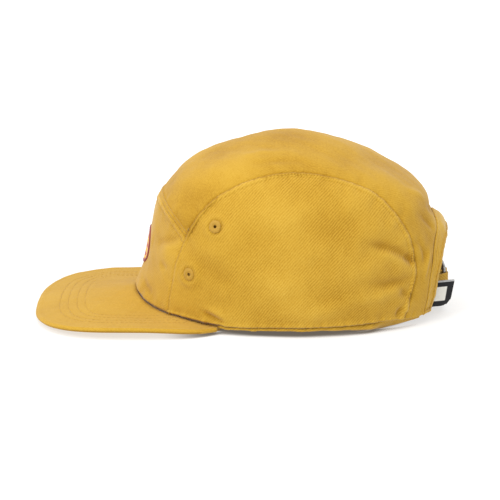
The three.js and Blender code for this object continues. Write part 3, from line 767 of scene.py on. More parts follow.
def carry_on(piece, edges, kinds, stages):
    """Carries the cloth on past these kinds of edge: turned in, or tucked under its neighbour."""
    count = len(edges.rim)
    order = {vert: i for i, vert in enumerate(edges.rim) if edges.kinds[i] in kinds}
    numbers = []
    for edge in piece.data.edges:
        a, b = (order.get(vert) for vert in edge.vertices)
        if None not in (a, b) and (a - b) % count in (1, count - 1):
            numbers.append(edge.index)
    if not numbers:
        return
    before = points_of(piece)
    normals = normals_of(piece)[edges.rim]
    pick(piece, edges=numbers)
    last = before[edges.rim]
    owner = np.arange(count)
    for drop, reach in stages:
        start = len(piece.data.vertices)
        with editing(piece, "EDGE"):
            bpy.ops.mesh.extrude_edges_move()
        points = points_of(piece)
        tree = near_tree(last)
        owner = owner[[tree.find(point)[1] for point in points[start:]]]
        base = before[edges.rim][owner]
        last = base - normals[owner] * drop - edges.inward[owner] * reach
        if stages is TUCKED:
            low = base[:, 2] < HEM_ZONE
            last[low, 2] = np.maximum(last[low, 2], base[low, 2])
        points[start:] = last
        put(piece, points)
    # The flap in the seam with the brim gets painted shade.
    if stages is SEWN_DOWN:
        shade_flap(piece, len(before))


def shade_flap(piece, start):
    """Paints shade on the cloth that has been carried on into the seam with the brim, where it lies in the
    gap.
    """
    layer = piece.data.attributes["rise"]
    values = np.empty(len(piece.data.vertices))
    layer.data.foreach_get("value", values)
    values[start:] = -SEAM_SHADE
    layer.data.foreach_set("value", values)


def panel(node, cloth, shape, fine_edge=FINE_EDGE):
    """One cloth panel: a sheet of the solid's outside, unwrapped, sewn, creased and given its thickness."""
    facing, along, up, sewn_over, sewn_under = PANEL_CUTS[node]
    piece = outer_skin(node, f"{node}_cloth", facing)
    lay_flat(piece, along, up)
    subdivide(piece, FINE_LEVELS)
    rough = Edges(piece, node)
    gap, _ = rough.away(points_of(piece), *sewn_over, *sewn_under, "open", "brim")
    halve_cells(piece, gap < fine_edge)
    points = over_eyelets(points_of(piece))
    put(piece, points)
    edges = Edges(piece, node)
    if node == "front_panel":
        edges.kinds = ["brim" if kind == "open" else kind for kind in edges.kinds]
    height = shape(edges, points)
    gap, _ = edges.away(points, "back_panel" if node != "back_panel" else "top_panel")
    soft = calm(points) * (STIFF_SHARE + (1 - STIFF_SHARE) * ease(gap, *STIFF_BY_ARCH))
    folds = crease_height(points) + swells(points, SOFT_WAVES)
    height = height + folds * soft + eyelet_dents(points)
    moved = points + normals_of(piece) * height[:, None]
    gap, _ = edges.away(points, "brim")
    moved[:, 2] += BRIM_SHADOW_GAP * (1 - ease(gap, 0, BRIM_SHADOW_REACH))
    put(piece, moved)
    # The relief is stored for the material, which paints shade in its grooves and light on its ridges.
    set_field(piece, "rise", height)
    edges.points = points_of(piece)
    carry_on(piece, edges, sewn_under, TUCKED)
    carry_on(piece, edges, (*sewn_over, "open"), TURNED)
    carry_on(piece, edges, ("brim",), SEWN_DOWN)
    cut_eyelets(piece)
    apply_modifier(piece, "SOLIDIFY", thickness=CLOTH * MM, offset=-1, use_rim=True)
    dress(piece, cloth, node)
    return piece, edges


def hem_fold(gap, along, seed):
    """The hem: a soft folded edge that stands a little proud of the rolled band below it."""
    stitched = 0.7 + 0.3 * np.cos(TURN * along / STITCH_PITCH)
    height = ridge(gap, *HEM_STAND) + ridge(gap, *HEM_STITCH_GROOVE) * stitched + ridge(gap, *HEM_GROOVE)
    return height + pucker(gap, along, seed, *HEM_PUCKER) + pucker(gap, along, seed + 1, *HEM_RIPPLE)


def side_shape(edges, points):
    """A side panel: its folded seam all round the arch, flatter beside the front panel, and its hem."""
    gap, along = edges.away(points, "top_panel", "front_panel", "back_panel")
    low_front = ease(points[:, 2], *LOW_FRONT_HEIGHT) * ease(points[:, 1], *LOW_FRONT_AHEAD)
    height = folded_seam(gap, along, TOPSTITCH_IN, seed=21) * (1 - LOW_FRONT_SHARE * low_front)
    return height + hem_fold(*edges.away(points, "open", "brim"), seed=31)


def shoulder(points):
    """The step over the rear arch: the arch stands out and the crown above it dips."""
    rear = ease(points[:, 1], *SHOULDER_BEHIND) * ease(np.abs(points[:, 0]), *SHOULDER_ACROSS)
    return rear * sum(ridge(points[:, 2], *row) for row in SHOULDER_RIDGES)


def top_shape(edges, points):
    """The top panel: under the side panels, folded at the front, stepped down to the rear arch."""
    height = under_seam(*edges.away(points, "side_panel_left", "side_panel_right"), seed=41)
    height += 0.8 * folded_seam(*edges.away(points, "front_panel"), FRONT_STITCH_IN, seed=51)
    gap, along = edges.away(points, "back_panel")
    arch = ridge(gap, *UNDER_GROOVE) + pucker(gap, along, 61, *ARCH_PUCKER)
    return height + 0.45 * arch + shoulder(points) + hem_fold(*edges.away(points, "open"), seed=71)


def front_shape(edges, points):
    """The front panel: folded at the top, under the side panels, drawn in where the brim is sewn on."""
    height = 0.8 * folded_seam(*edges.away(points, "top_panel"), FRONT_STITCH_IN, seed=81)
    height += 0.5 * under_seam(*edges.away(points, "side_panel_left", "side_panel_right"), seed=91)
    gap, along = edges.away(points, "open", "brim")
    return height + ridge(gap, *BRIM_SEAM_GROOVE) + pucker(gap, along, 95, *BRIM_SEAM_PUCKER)


def back_shape(edges, points):
    """The rear arch: a narrow panel that is folded and stitched along both of its edges."""
    beside = edges.away(points, "top_panel", "side_panel_left", "side_panel_right")
    height = 0.4 * folded_seam(*beside, BACK_STITCH_IN, seed=101) + shoulder(points)
    return height + folded_seam(*edges.away(points, "open"), ARCH_STITCH_IN, seed=111)


# Materials

class Socket:
    """A number or colour in a material's nodes, so that its maths reads as plain expressions."""

    def __init__(self, finish, out):
        self.finish = finish
        self.out = out

    def math(self, operation, *others):
        """One Math node on this value."""
        return self.finish.node("Math", {"operation": operation}, [self, *others])

    def __add__(self, other):
        return self.math("ADD", other)

    __radd__ = __add__

    def __mul__(self, other):
        return self.math("MULTIPLY", other)

    __rmul__ = __mul__

    def __sub__(self, other):
        return self.math("SUBTRACT", other)

    def __rsub__(self, other):
        return self.finish.node("Math", {"operation": "SUBTRACT"}, [other, self])

    def __truediv__(self, other):
        return self.math("DIVIDE", other)

    def __pow__(self, other):
        return self.math("POWER", other)

    def wave(self, length=TURN):
        """A sine wave of this length, from -1 to 1."""
        return (self * (TURN / length)).math("SINE")

    def ribs(self, length):
        """A sine wave of this length, from 0 to 1."""
        return self.wave(length) * 0.5 + 0.5

    def between(self, low, high):
        """0 at low and below, 1 at high and above."""
        values = {"Value": self, "From Min": low, "From Max": high}
        return self.finish.node("MapRange", {"interpolation_type": "SMOOTHSTEP"}, values)


class Finish:
    """A material whose nodes are written as expressions."""

    def __init__(self, name, **fixed):
        self.material = bpy.data.materials.new(name)
        self.material.use_nodes = True
        self.tree = self.material.node_tree
        self.shader = self.tree.nodes["Principled BSDF"]
        for key, value in fixed.items():
            socket = key.replace("_", " ").title().replace("Ior", "IOR")
            self.shader.inputs[socket].default_value = value

    def node(self, kind, settings=None, inputs=None, output=0):
        """Any node: its settings first, then the values or links of its sockets."""
        made = self.tree.nodes.new(f"ShaderNode{kind}")
        for key, value in (settings or {}).items():
            if key == "stops":
                self.set_stops(made.color_ramp, value)
            else:
                setattr(made, key, value)
        pairs = inputs.items() if isinstance(inputs, dict) else enumerate(inputs or [])
        for key, value in pairs:
            self.feed(made.inputs[key], value)
        return Socket(self, made.outputs[output])

    def set_stops(self, ramp, stops):
        """Puts a ramp's colours at their places."""
        for extra in range(len(stops) - len(ramp.elements)):
            ramp.elements.new(0.5 + extra * 0.01)
        for element, (place, colour) in zip(ramp.elements, stops):
            element.position = place
            element.color = (*colour, 1)

    def feed(self, socket, value):
        """Links a socket to an expression, or sets its value."""
        if isinstance(value, Socket):
            self.tree.links.new(value.out, socket)
        else:
            socket.default_value = value

    def mix(self, share, first, second):
        """One colour over another."""
        values = {6: colour4(first), 7: colour4(second), 0: share}
        return self.node("Mix", {"data_type": "RGBA"}, values, 2)

    def noise(self, vector, scale, detail=3.0, rough=0.5):
        """Uneven grain, with this many features a metre."""
        values = {"Vector": vector, "Scale": scale, "Detail": detail, "Roughness": rough}
        return self.node("TexNoise", {"noise_dimensions": "3D"}, values)

    def object_place(self):
        """The place on the cap, in metres."""
        return self.node("TexCoord", output=3)

    def field(self, name):
        """One stored number a point."""
        return self.node("Attribute", {"attribute_name": name}, output=2)

    def parts(self, vector):
        """A vector's three numbers."""
        first = self.node("SeparateXYZ", inputs=[vector])
        return [Socket(self, out) for out in first.out.node.outputs]

    def bump(self, height, strength, distance):
        """Relief that only the light sees."""
        values = {"Height": height, "Strength": strength, "Distance": distance}
        return self.node("Bump", inputs=values)

    def finish(self, colour, rough=None, normal=None):
        """Links what changes over the surface, and hands over the material."""
        for key, value in (("Base Color", colour), ("Roughness", rough), ("Normal", normal)):
            if value is not None:
                self.feed(self.shader.inputs[key], value)
        return self.material


def colour4(value):
    """A colour with its alpha, unless it is linked."""
    return value if isinstance(value, Socket) else (*value, 1)


# Ochre cotton, as light, middle and dark thread; the ramp carries the cloth's random tone and also its
# painted light and shade.
OCHRE_LIGHT = (0.60, 0.375, 0.052)
OCHRE = (0.50, 0.285, 0.027)
OCHRE_DEEP = (0.355, 0.18, 0.011)
THREAD_OCHRE = (0.50, 0.285, 0.035)
THREAD_DEEP = (0.36, 0.19, 0.016)
EYELET_OCHRE = (0.53, 0.305, 0.03)
EYELET_DEEP = (0.36, 0.19, 0.013)
# Ribs and floats of the twill: their pitch in mm and the ribs' angle in degrees.
TWILL_PITCH = 1.5
FLOAT_PITCH = 0.9
TWILL_ANGLE = 49
# The ribs show less towards the front, between these two places along the cap in metres.
RIBS_FADE_IN = (-0.05, 0.02)


def twill(
    name, place, angle=TWILL_ANGLE, pitch=TWILL_PITCH, strength=0.42, contrast=1.05, sheen=0.26, level=0.53
):
    """Washed cotton twill: diagonal ribs broken into short floats, with lint and uneven fading, and painted
    light and shade that follow the cloth's relief.
    """
    made = Finish(name, roughness=0.9, specular_ior_level=0.12, sheen_weight=sheen, sheen_roughness=0.45)
    across, up, _ = made.parts(place(made))
    lean, rise = math.sin(math.radians(angle)) / MM, math.cos(math.radians(angle)) / MM
    body = made.object_place()
    drift = made.noise(body, 140.0, 3.0, 0.6)
    phase = across * (lean / pitch) - up * (rise / pitch) + (drift - 0.5) * 1.1
    rib = phase.ribs(1)
    weft = across * (rise / FLOAT_PITCH) + up * (lean / FLOAT_PITCH)
    floats = (weft + phase * 0.5).ribs(1)
    fluff = made.noise(body, 900.0, 4.0, 0.65)
    slub = made.noise(body, 2600.0, 2.0, 0.6)
    patchy = made.noise(body, 26.0, 4.0, 0.6)
    thread = rib * 0.62 + rib * floats * 0.2 + slub * 0.3
    rearward = made.parts(body)[1].between(*RIBS_FADE_IN) * 0.5 + 0.6
    faint = (made.noise(body, 85.0, 3.0, 0.6) * 1.1 + 0.3) * rearward
    tone = (thread - 0.55) * faint * (0.52 * contrast) + level
    tone = tone + (fluff - 0.5) * 0.75 + (slub - 0.5) * 0.35 + (patchy - 0.5) * 0.3
    # Painted light and shade: the stored relief makes ridges lighter and grooves and seams darker.
    tone = tone + made.field("rise") * 0.16
    stops = [(0.12, OCHRE_DEEP), (0.5, OCHRE), (0.95, OCHRE_LIGHT)]
    colour = made.node("ValToRGB", {"stops": stops}, [tone])
    height = thread * faint + fluff * 0.35
    return made.finish(colour, normal=made.bump(height, strength, 0.16 * MM))


def by_cut(made):
    """The cloth's own cut shape, laid flat."""
    return made.node("UVMap")


def by_side(made):
    """The cap seen from behind or in front: X across and Z up."""
    x, y, z = made.parts(made.object_place())
    return made.node("CombineXYZ", inputs=[x, z, y])


# Pieces

def stitches_along(places, normals, ways, name, material, thick=THREAD):
    """Threads of one row of stitching as a single mesh, a small capsule at each place."""
    bpy.ops.object.select_all(action="DESELECT")
    bpy.ops.mesh.primitive_uv_sphere_add(segments=6, ring_count=4, radius=1)
    pattern = bpy.context.active_object
    shape = points_of(pattern) * MM
    faces = [list(face.vertices) for face in pattern.data.polygons]
    bpy.data.objects.remove(pattern)
    verts = []
    polys = []
    for place, normal, way in zip(places, normals, ways):
        way = way / np.linalg.norm(way)
        side = np.cross(normal, way)
        side /= np.linalg.norm(side)
        axes = [side * thick * THREAD_SPREAD, np.cross(way, side) * thick, way * STITCH_LENGTH / 2]
        polys += [[vert + len(verts) for vert in face] for face in faces]
        verts.extend(place + shape @ np.array(axes))
    dress(new_piece(name, verts, polys), material)


def stitch_row(piece, edges, kinds, inset, name, material):
    """A row of topstitching that runs inside an edge of a panel."""
    tree = surface(piece)
    ring = edges.points[edges.rim]
    places, normals, ways = [], [], []
    for i in edges.starts(kinds):
        beside = ring[i] + edges.inward[i] * inset + edges.normals[i] * (CLOTH * 1.8)
        spot, normal, _, _ = tree.find_nearest(Vector(beside))
        places.append(np.array(spot) + np.array(normal) * (THREAD / 2 - THREAD_SINK))
        normals.append(np.array(normal))
        ways.append(edges.ways[i])
    stitches_along(places, normals, ways, name, material)


# How far over the brim the seam's painted shade reaches from the crown's hem in mm, and how dark the painted
# shade is, beside the hem, under the rim and on the seam's flap.
SEAM_SHADE_REACH = 1.7
SEAM_SHADE = 5.0
# The brim's rows: a groove for the thread and a ridge beyond it, as height, distance and width, in mm.
ROW_GROOVE = (-0.3, 0.0, 0.45)
ROW_RIDGE = (0.07, 2.6, 1.8)
# The rows end over this length behind and are faint up to the place where they deepen towards the tip.
ROWS_END_OVER = 26
ROWS_FAINT_SHARE = 0.22
ROWS_DEEPEN = (-84, -108)
# The firm edge of the brim, and its slow unevenness: height, wavelength and seed.
BRIM_EDGE_RIDGES = ((0.14, 2.6, 0.9), (-0.16, 4.4, 1.0))
BRIM_WAVES = ((0.12, 38, 17), (0.05, 9, 18))
# How deep the rim's underside is drawn in, and how far from the brim's edge, in mm.
BRIM_UNDERCUT = 0.5
BRIM_RIM = 3
# Which way a brim's face points, as its normal's height: counted as upper, and fading to upper.
FACES_UP = 0.5
FADES_UP = (0.3, 0.8)


def in_plan(points):
    """Points laid down on the floor."""
    return np.column_stack([points[:, :2], np.zeros(len(points))])


def make_brim(cloth, hem):
    """The brim: board covered in cloth, with nested rows of stitching and a firm edge."""
    piece = smooth_copy("brim", "brim_cloth", angle=28, weight=0.75)
    points = points_of(piece)
    outline = brim_outline(piece)
    gap, _ = away_from(in_plan(points), outline)
    stitched = (gap > BRIM_ROWS[0] - 2) & (gap < BRIM_ROWS[-1] + 2) & (points[:, 1] < -BRIM_ROW_END)
    halve_cells(piece, stitched & (normals_of(piece)[:, 2] > FACES_UP))
    points = points_of(piece)
    normals = normals_of(piece)
    gap, along = away_from(in_plan(points), outline)
    fade = ease(points[:, 1], -BRIM_ROW_END, -BRIM_ROW_END - ROWS_END_OVER)
    fade *= ROWS_FAINT_SHARE + (1 - ROWS_FAINT_SHARE) * ease(points[:, 1], *ROWS_DEEPEN)
    height = swells(points, BRIM_WAVES) + sum(ridge(gap, *row) for row in BRIM_EDGE_RIDGES)
    for number, row in enumerate(BRIM_ROWS):
        height += ridge(gap - row, *ROW_GROOVE) * dimples(along, number) * fade
        height += ridge(gap - row, *ROW_RIDGE) * fade
    height *= ease(normals[:, 2], *FADES_UP)
    under = bell(normals[:, 2], -FACES_UP, 0.28) * (gap < BRIM_RIM) * (points[:, 1] < -BRIM_ROW_END)
    put(piece, points + normals * (height - BRIM_UNDERCUT * under)[:, None])
    beside_hem, _ = away_from(points, (hem, np.zeros(len(hem))))
    # Painted shade: besides its relief, the brim is darkened beside the crown's hem and on the rim's
    # underside.
    set_field(piece, "rise", height - SEAM_SHADE * (under + bell(beside_hem, 0, SEAM_SHADE_REACH)))
    brim_cut(piece, along)
    dress(piece, cloth, "brim")
    return piece, outline


def brim_outline(piece):
    """The brim's free edge in plan, as closely spaced points with the length along it."""
    flat = points_of(piece)[:, :2]
    hull = flat[convex_hull_2d([tuple(point) for point in flat])]
    sides = np.linalg.norm(np.roll(hull, -1, axis=0) - hull, axis=1)
    run = np.roll(hull, -(int(sides.argmax()) + 1), axis=0)
    travel = np.concatenate([[0], np.cumsum(np.linalg.norm(np.diff(run, axis=0), axis=1))])
    even = np.arange(0, travel[-1], 0.5)
    fine = np.column_stack([np.interp(even, travel, run[:, 0]), np.interp(even, travel, run[:, 1])])
    for _ in range(12):
        fine[1:-1] = (fine[:-2] + 2 * fine[1:-1] + fine[2:]) / 4
    return np.column_stack([fine, np.zeros(len(fine))]), even


def brim_cut(piece, along):
    """Lays the weave on the brim: in plan on its faces, and along the edge on its rim."""
    mesh = piece.data
    points = points_of(piece) * MM
    if not mesh.uv_layers:
        mesh.uv_layers.new(name="UVMap")
    layer = mesh.uv_layers.active
    uv = np.empty((len(mesh.loops), 2))
    for face in mesh.polygons:
        for loop, vert in zip(face.loop_indices, face.vertices):
            if abs(face.normal.z) > 0.5:
                uv[loop] = (points[vert][1], points[vert][0])
            else:
                uv[loop] = (along[vert] * MM, points[vert][2])
    layer.uv.foreach_set("vector", uv.ravel())


def brim_stitching(piece, outline, thread):
    """The brim's nested rows of stitching."""
    tree = surface(piece)
    run, _ = outline
    ways = np.gradient(run, axis=0)
    ways /= np.linalg.norm(ways, axis=1)[:, None]
    inward = np.column_stack([-ways[:, 1], ways[:, 0], np.zeros(len(ways))])
    inward *= np.sign(np.sum(inward * (np.array([0, -40, 0]) - run), axis=1))[:, None]
    down = Vector((0, 0, -1))
    for number, row in enumerate(BRIM_ROWS):
        line = run + inward * row
        travel = np.concatenate([[0], np.cumsum(np.linalg.norm(np.diff(line, axis=0), axis=1))])
        places, normals, turned = [], [], []
        for length in np.arange(1.0, travel[-1], STITCH_PITCH):
            i = int(np.searchsorted(travel, length))
            if i >= len(line) or line[i][1] > -BRIM_ROW_END - 8:
                continue
            spot, normal, _, _ = tree.ray_cast(Vector((line[i][0], line[i][1], 60)), down)
            if spot is None or normal.z < 0.3:
                continue
            if solids["front_panel"].ray_cast(spot - down * 0.5, -down)[0] is not None:
                continue
            places.append(np.array(spot) + np.array(normal) * 0.03)
            normals.append(np.array(normal))
            turned.append(ways[i])
        name = f"brim_stitching_{number + 1}"
        stitches_along(places, normals, turned, name, thread, BRIM_THREAD)


# How far inside the hem the rolled lip's outer face lies, from the floor up to the hem, in mm.
ROLL_HEIGHTS = (0.0, 2.7, 3.2, 3.6, 4.1, 4.8, 5.5, 6.0, 6.4)
ROLL_INSETS = (7.5, 7.0, 3.2, 1.4, 0.5, 0.1, 0.4, 1.1, 1.9)
# How much lower the roll's underside lies away from the middle of the side, as a share of its height.
ROLL_DROP = 0.42
ROLL_LIFTED_FROM = (-30, -8)
ROLL_LIFTED_TO = (46, 92)
ROLL_CLEAR = 3.3
ROLL_HEM = 6.4
# Where the roll starts and ends round each side, in degrees from the front.
ROLL_STARTS = (53, 59)
ROLL_ENDS = (126, 136)
ROLL_MIDDLE = 30
ROLL_TOP = (ROLL_HEM, 8.5)
BAND_WALL = 1.2
BAND_RADIUS = 80.0


def make_band(cloth, hem):
    """The sweatband, with its lower edge rolled out under the hem of the sides."""
    piece = smooth_copy("sweatband", "sweatband_cloth", angle=40, weight=0.6)
    points = points_of(piece)
    normals = normals_of(piece)
    angle = np.degrees(np.arctan2(np.abs(points[:, 0]), -(points[:, 1] - ROLL_MIDDLE)))
    tree = near_tree(in_plan(hem))
    beside = hem[[tree.find(point)[1] for point in in_plan(points)]]
    out = beside[:, :2] - points[:, :2]
    inset = np.linalg.norm(out, axis=1)
    out /= np.maximum(inset, 1e-6)[:, None]
    facing = np.sum(normals[:, :2] * out, axis=1)
    inset = inset - BAND_WALL * (0.5 - 0.5 * np.clip(facing, -1, 1))
    level = points[:, 2] / beside[:, 2] * ROLL_HEM
    lifted = ease(points[:, 1], *ROLL_LIFTED_FROM) * (1 - ease(points[:, 1], *ROLL_LIFTED_TO))
    lowered = ROLL_HEM - (ROLL_HEM - level) * (1 - ROLL_DROP * (1 - lifted))
    wanted = np.interp(lowered, ROLL_HEIGHTS, ROLL_INSETS)
    share = ease(angle, *ROLL_STARTS) * (1 - ease(angle, *ROLL_ENDS)) * (1 - ease(level, *ROLL_TOP))
    along = np.arctan2(points[:, 0], -points[:, 1]) * BAND_RADIUS
    wave = 0.3 * ripple(along, 9.0, 131) * (1 - ease(points[:, 2], 5.0, 9.0))
    moved = points.copy()
    moved[:, :2] += out * ((inset - wanted) * share + wave)[:, None]
    moved[:, 2] += 0.25 * ripple(along, 15.0, 133) * share * ease(points[:, 2], 0.2, 2.5)
    moved[:, 2] = np.maximum(moved[:, 2], ROLL_CLEAR * lifted * share)
    put(piece, moved)
    # The ripple is stored for the material, which paints light and shade along it.
    set_field(piece, "rise", wave)
    lay_round(piece, along)
    dress(piece, cloth, "sweatband")


def lay_round(piece, along):
    """Lays the weave on a band: its length along U and its height along V."""
    mesh = piece.data
    heights = points_of(piece)[:, 2]
    layer = mesh.uv_layers.new(name="UVMap") if not mesh.uv_layers else mesh.uv_layers.active
    corners = corners_of(piece)
    uv = np.column_stack([along[corners], heights[corners]]) * MM
    layer.uv.foreach_set("vector", uv.ravel())


# The strap's stitched groove inside each edge: height, distance from the edge and width, in mm.
STRAP_GROOVE = (-0.14, 2.2, 0.5)


def make_webbing(node, cloth):
    """A strap of folded cloth with a soft edge."""
    piece = smooth_copy(node, f"{node}_cloth", angle=40, weight=0.7)
    points = points_of(piece)
    low, high = points[:, 2].min(), points[:, 2].max()
    height = ridge(np.minimum(points[:, 2] - low, high - points[:, 2]), *STRAP_GROOVE)
    put(piece, points + normals_of(piece) * height[:, None])
    # The stitched groove is stored for the material, which paints shade in it.
    set_field(piece, "rise", height * 2)
    dress(piece, cloth, node)


def make_eyelet(node, middle, way, material):
    """An embroidered eyelet: a soft ring of close radial threads round a small hole."""
    bpy.ops.object.select_all(action="DESELECT")
    ring = (EYELET_RADIUS + EYELET_HOLE) / 2
    wall = (EYELET_RADIUS - EYELET_HOLE) / 2
    bpy.ops.mesh.primitive_torus_add(
        major_segments=144, minor_segments=14, major_radius=ring * MM, minor_radius=wall * MM
    )
    piece = bpy.context.active_object
    piece.name = f"{node}_thread"
    points = points_of(piece)
    angle = np.arctan2(points[:, 1], points[:, 0])
    radius = np.hypot(points[:, 0], points[:, 1])
    cross = np.maximum(points[:, 2], -0.3 * wall) / wall
    thread = 0.12 * np.abs(np.sin(angle * EYELET_THREADS)) + 0.08 * ripple(angle * 10, 4.2, 7)
    lift = cross * (0.8 + thread)
    spread = radius * (1 + 0.02 * ripple(angle * 10, 9, 3))
    local = np.column_stack([np.cos(angle) * spread, np.sin(angle) * spread, lift + 0.16])
    turn = Vector(way).to_track_quat("Z", "Y").to_matrix()
    put(piece, local @ np.array(turn).T + np.array(middle))
    dress(piece, material, node)


# The buckle's corner radius and the radius of its middle bar, in mm.
BUCKLE_CORNER = 3.4
BUCKLE_BAR = 0.9


def make_buckle(metal):
    """The buckle: a round wire frame with a middle bar."""
    low, high = (np.array(corner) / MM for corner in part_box("buckle"))
    centre = (low + high) / 2
    size = high - low
    wire = size[1] / 2
    bpy.ops.object.select_all(action="DESELECT")
    bpy.ops.mesh.primitive_plane_add(size=1)
    piece = bpy.context.active_object
    piece.name = "buckle_frame"
    points = points_of(piece) * MM
    flat = np.column_stack([
        points[:, 0] * (size[0] - 2 * wire),
        np.zeros(4),
        points[:, 1] * (size[2] - 2 * wire),
    ])
    put(piece, flat + centre)
    with editing(piece, "VERT"):
        bpy.ops.mesh.select_all(action="SELECT")
        bpy.ops.mesh.bevel(offset=BUCKLE_CORNER * MM, segments=8, affect="VERTICES")
        bpy.ops.mesh.select_all(action="SELECT")
        bpy.ops.mesh.delete(type="ONLY_FACE")
    bpy.ops.object.convert(target="CURVE")
    piece.data.bevel_depth = wire * MM
    piece.data.bevel_resolution = 6
    bpy.ops.object.convert(target="MESH")
    bpy.ops.object.select_all(action="DESELECT")
    bpy.ops.mesh.primitive_cylinder_add(
        vertices=24, radius=BUCKLE_BAR * MM, depth=(size[2] - 2 * wire) * MM, location=(centre * MM).tolist()
    )
    bar = bpy.context.active_object
    alone(bar)
    bpy.ops.object.transform_apply(location=True, rotation=True, scale=True)
    apply_modifier(piece, "BOOLEAN", operation="UNION", solver="EXACT", object=bar)
    bpy.data.objects.remove(bar)
    dress(piece, metal, "buckle", angle=50)


# How far the label bends, its outer lower corner is drawn in, and its lower edge sags, in mm.
LABEL_BEND = 0.35
LABEL_CORNER = 1.8
LABEL_SAG = 0.8
# The patch's raised border: how far in its middle lies, half its width and its height, in mm.
PATCH_BORDER_IN = 1.1
PATCH_BORDER_HALF = 1.25
PATCH_BORDER_RISE = 0.32
PATCH_CLOTH = 0.45
PATCH_SINK = 0.8
# The groove inside the border and the one at its edge, and the pitch of its satin threads, in mm.
PATCH_GROOVES = ((-0.12, 2.6, 0.5), (-0.35, 0.0, 0.35))
SATIN_PITCH = 0.62


def make_label(material):
    """The side label: woven tape folded double, with a pale panel on a dark ground."""
    piece = smooth_copy("side_label", "side_label_tape", angle=40, weight=0.8)
    points = points_of(piece)
    low, high = points[:, 2].min(), points[:, 2].max()
    up = (points[:, 2] - low) / (high - low)
    ends = []
    for level in (0.02, 0.98):
        near = points[np.abs(up - level) < 0.03, 1]
        ends.append(np.array([near.min(), near.max()]))
    start, stop = (ends[0] + np.outer(up, ends[1] - ends[0])).T
    share = (points[:, 1] - start) / (stop - start)
    set_field(piece, "across", share)
    set_field(piece, "upward", up)
    points[:, 0] += LABEL_BEND * np.sin((points[:, 1] - points[:, 1].min()) / 5.2)
    corner = ease(share, 0.62, 1.0) * ease(up, 0.3, 0.0)
    points[:, 1] -= LABEL_CORNER * corner
    points[:, 2] -= LABEL_SAG * ease(up, 0.6, 0.0) * (1 - corner)
    put(piece, points)
    dress(piece, material, "side_label", angle=60)


def make_patch(material):
    """The front patch: a flat embroidered oval inside a raised satin border."""
    piece = outer_skin("front_patch", "front_patch_sewn", (0, -1, 0.2))
    lay_flat(piece, (1, 0, 0), (0, 0, 1))
    subdivide(piece, 4)
    points = points_of(piece)
    edges = Edges(piece, "front_patch")
    edges.kinds = ["open"] * len(edges.rim)
    gap, along = edges.away(points, "open")
    across = (gap - PATCH_BORDER_IN) / PATCH_BORDER_HALF
    border = PATCH_BORDER_RISE * np.sqrt(np.clip(1 - across**2, 0, 1))
    thread = 0.06 * np.sin(TURN * along / SATIN_PITCH)
    height = border * (1 + thread) + sum(ridge(gap, *row) for row in PATCH_GROOVES) - PATCH_SINK
    put(piece, points + normals_of(piece) * height[:, None])
    set_field(piece, "inward", gap)
    set_field(piece, "along", along)
    apply_modifier(piece, "SOLIDIFY", thickness=PATCH_CLOTH * MM, offset=-1, use_rim=True)
    dress(piece, material, "front_patch")


# Pitches of the label's weave, and of the patch's fill stitches, their rows and its bars, in metres.
LABEL_WEAVE = 0.42 * MM
PATCH_FILL = 0.55 * MM
PATCH_ROWS = 5.0 * MM
PATCH_BARS = 6.4 * MM


def thread_finish(name, colour, deep):
    """Sewing or embroidery thread: twisted, with a slight lustre."""
    made = Finish(name, roughness=0.62, specular_ior_level=0.35, sheen_weight=0.15)
    body = made.object_place()
    grain = made.noise(body, 1500.0, 3.0, 0.6)
    return made.finish(made.mix(grain, deep, colour), normal=made.bump(grain, 0.5, 0.1 * MM))


def metal_finish():
    """Antique silver: worn bright in places and dark in others, and duller in its marks."""
    made = Finish("antique_silver", metallic=1.0, roughness=0.36)
    body = made.object_place()
    wear = made.noise(body, 260.0, 5.0, 0.65)
    marks = made.noise(body, 1800.0, 2.0, 0.5)
    colour = made.mix(wear, (0.24, 0.235, 0.23), (0.52, 0.51, 0.49))
    rough = wear * 0.22 + marks * 0.12 + 0.26
    return made.finish(colour, rough=rough, normal=made.bump(marks + wear, 0.25, 0.08 * MM))


def label_finish():
    """Woven label: black ground with a pale panel, and a painted grey highlight along its folded top edge.
    """
    made = Finish("label_weave", roughness=0.75, specular_ior_level=0.25, sheen_weight=0.1)
    across, up = made.field("across"), made.field("upward")
    _, y, z = made.parts(made.object_place())
    weave = y.wave(LABEL_WEAVE) * z.wave(LABEL_WEAVE)
    inside = across.between(0.16, 0.18) * (1 - across.between(0.76, 0.78))
    inside = inside * up.between(0.2, 0.22) * (1 - up.between(0.74, 0.76))
    colour = made.mix(inside, (0.012, 0.012, 0.014), (0.74, 0.72, 0.66))
    # Painted highlight: the folded top edge is made grey, where light catches it.
    colour = made.mix(up.between(0.93, 0.95), colour, (0.42, 0.42, 0.42))
    return made.finish(colour, normal=made.bump(weave * 0.5 + 0.5, 0.5, 0.1 * MM))


def patch_finish():
    """Patch embroidery: satin border in dark red, fill stitch in yellow with plain red bars."""
    made = Finish("patch_thread", roughness=0.5, specular_ior_level=0.4, sheen_weight=0.1)
    gap, along = made.field("inward"), made.field("along")
    across, up, _ = made.parts(made.node("UVMap"))
    border = 1 - gap.between(2.3, 2.6)
    satin = along.ribs(0.5)
    fill = (up * (TURN / PATCH_FILL) + across.wave(PATCH_ROWS)).ribs(TURN)
    bars = (up / PATCH_BARS * TURN + 1.4).wave().between(0.25, 0.45)
    inner = gap.between(3.9, 4.2)
    yellow = made.mix(fill, (0.80, 0.42, 0.016), (0.90, 0.52, 0.03))
    red = made.mix(fill, (0.42, 0.018, 0.012), (0.58, 0.03, 0.02))
    field = made.mix(bars * inner, yellow, red)
    dark = made.mix(satin, (0.19, 0.012, 0.018), (0.33, 0.03, 0.035))
    height = border * satin + (1 - border) * fill * 0.7
    return made.finish(made.mix(border, field, dark), normal=made.bump(height, 0.7, 0.14 * MM))


SIDES = ("side_panel_left", "side_panel_right")
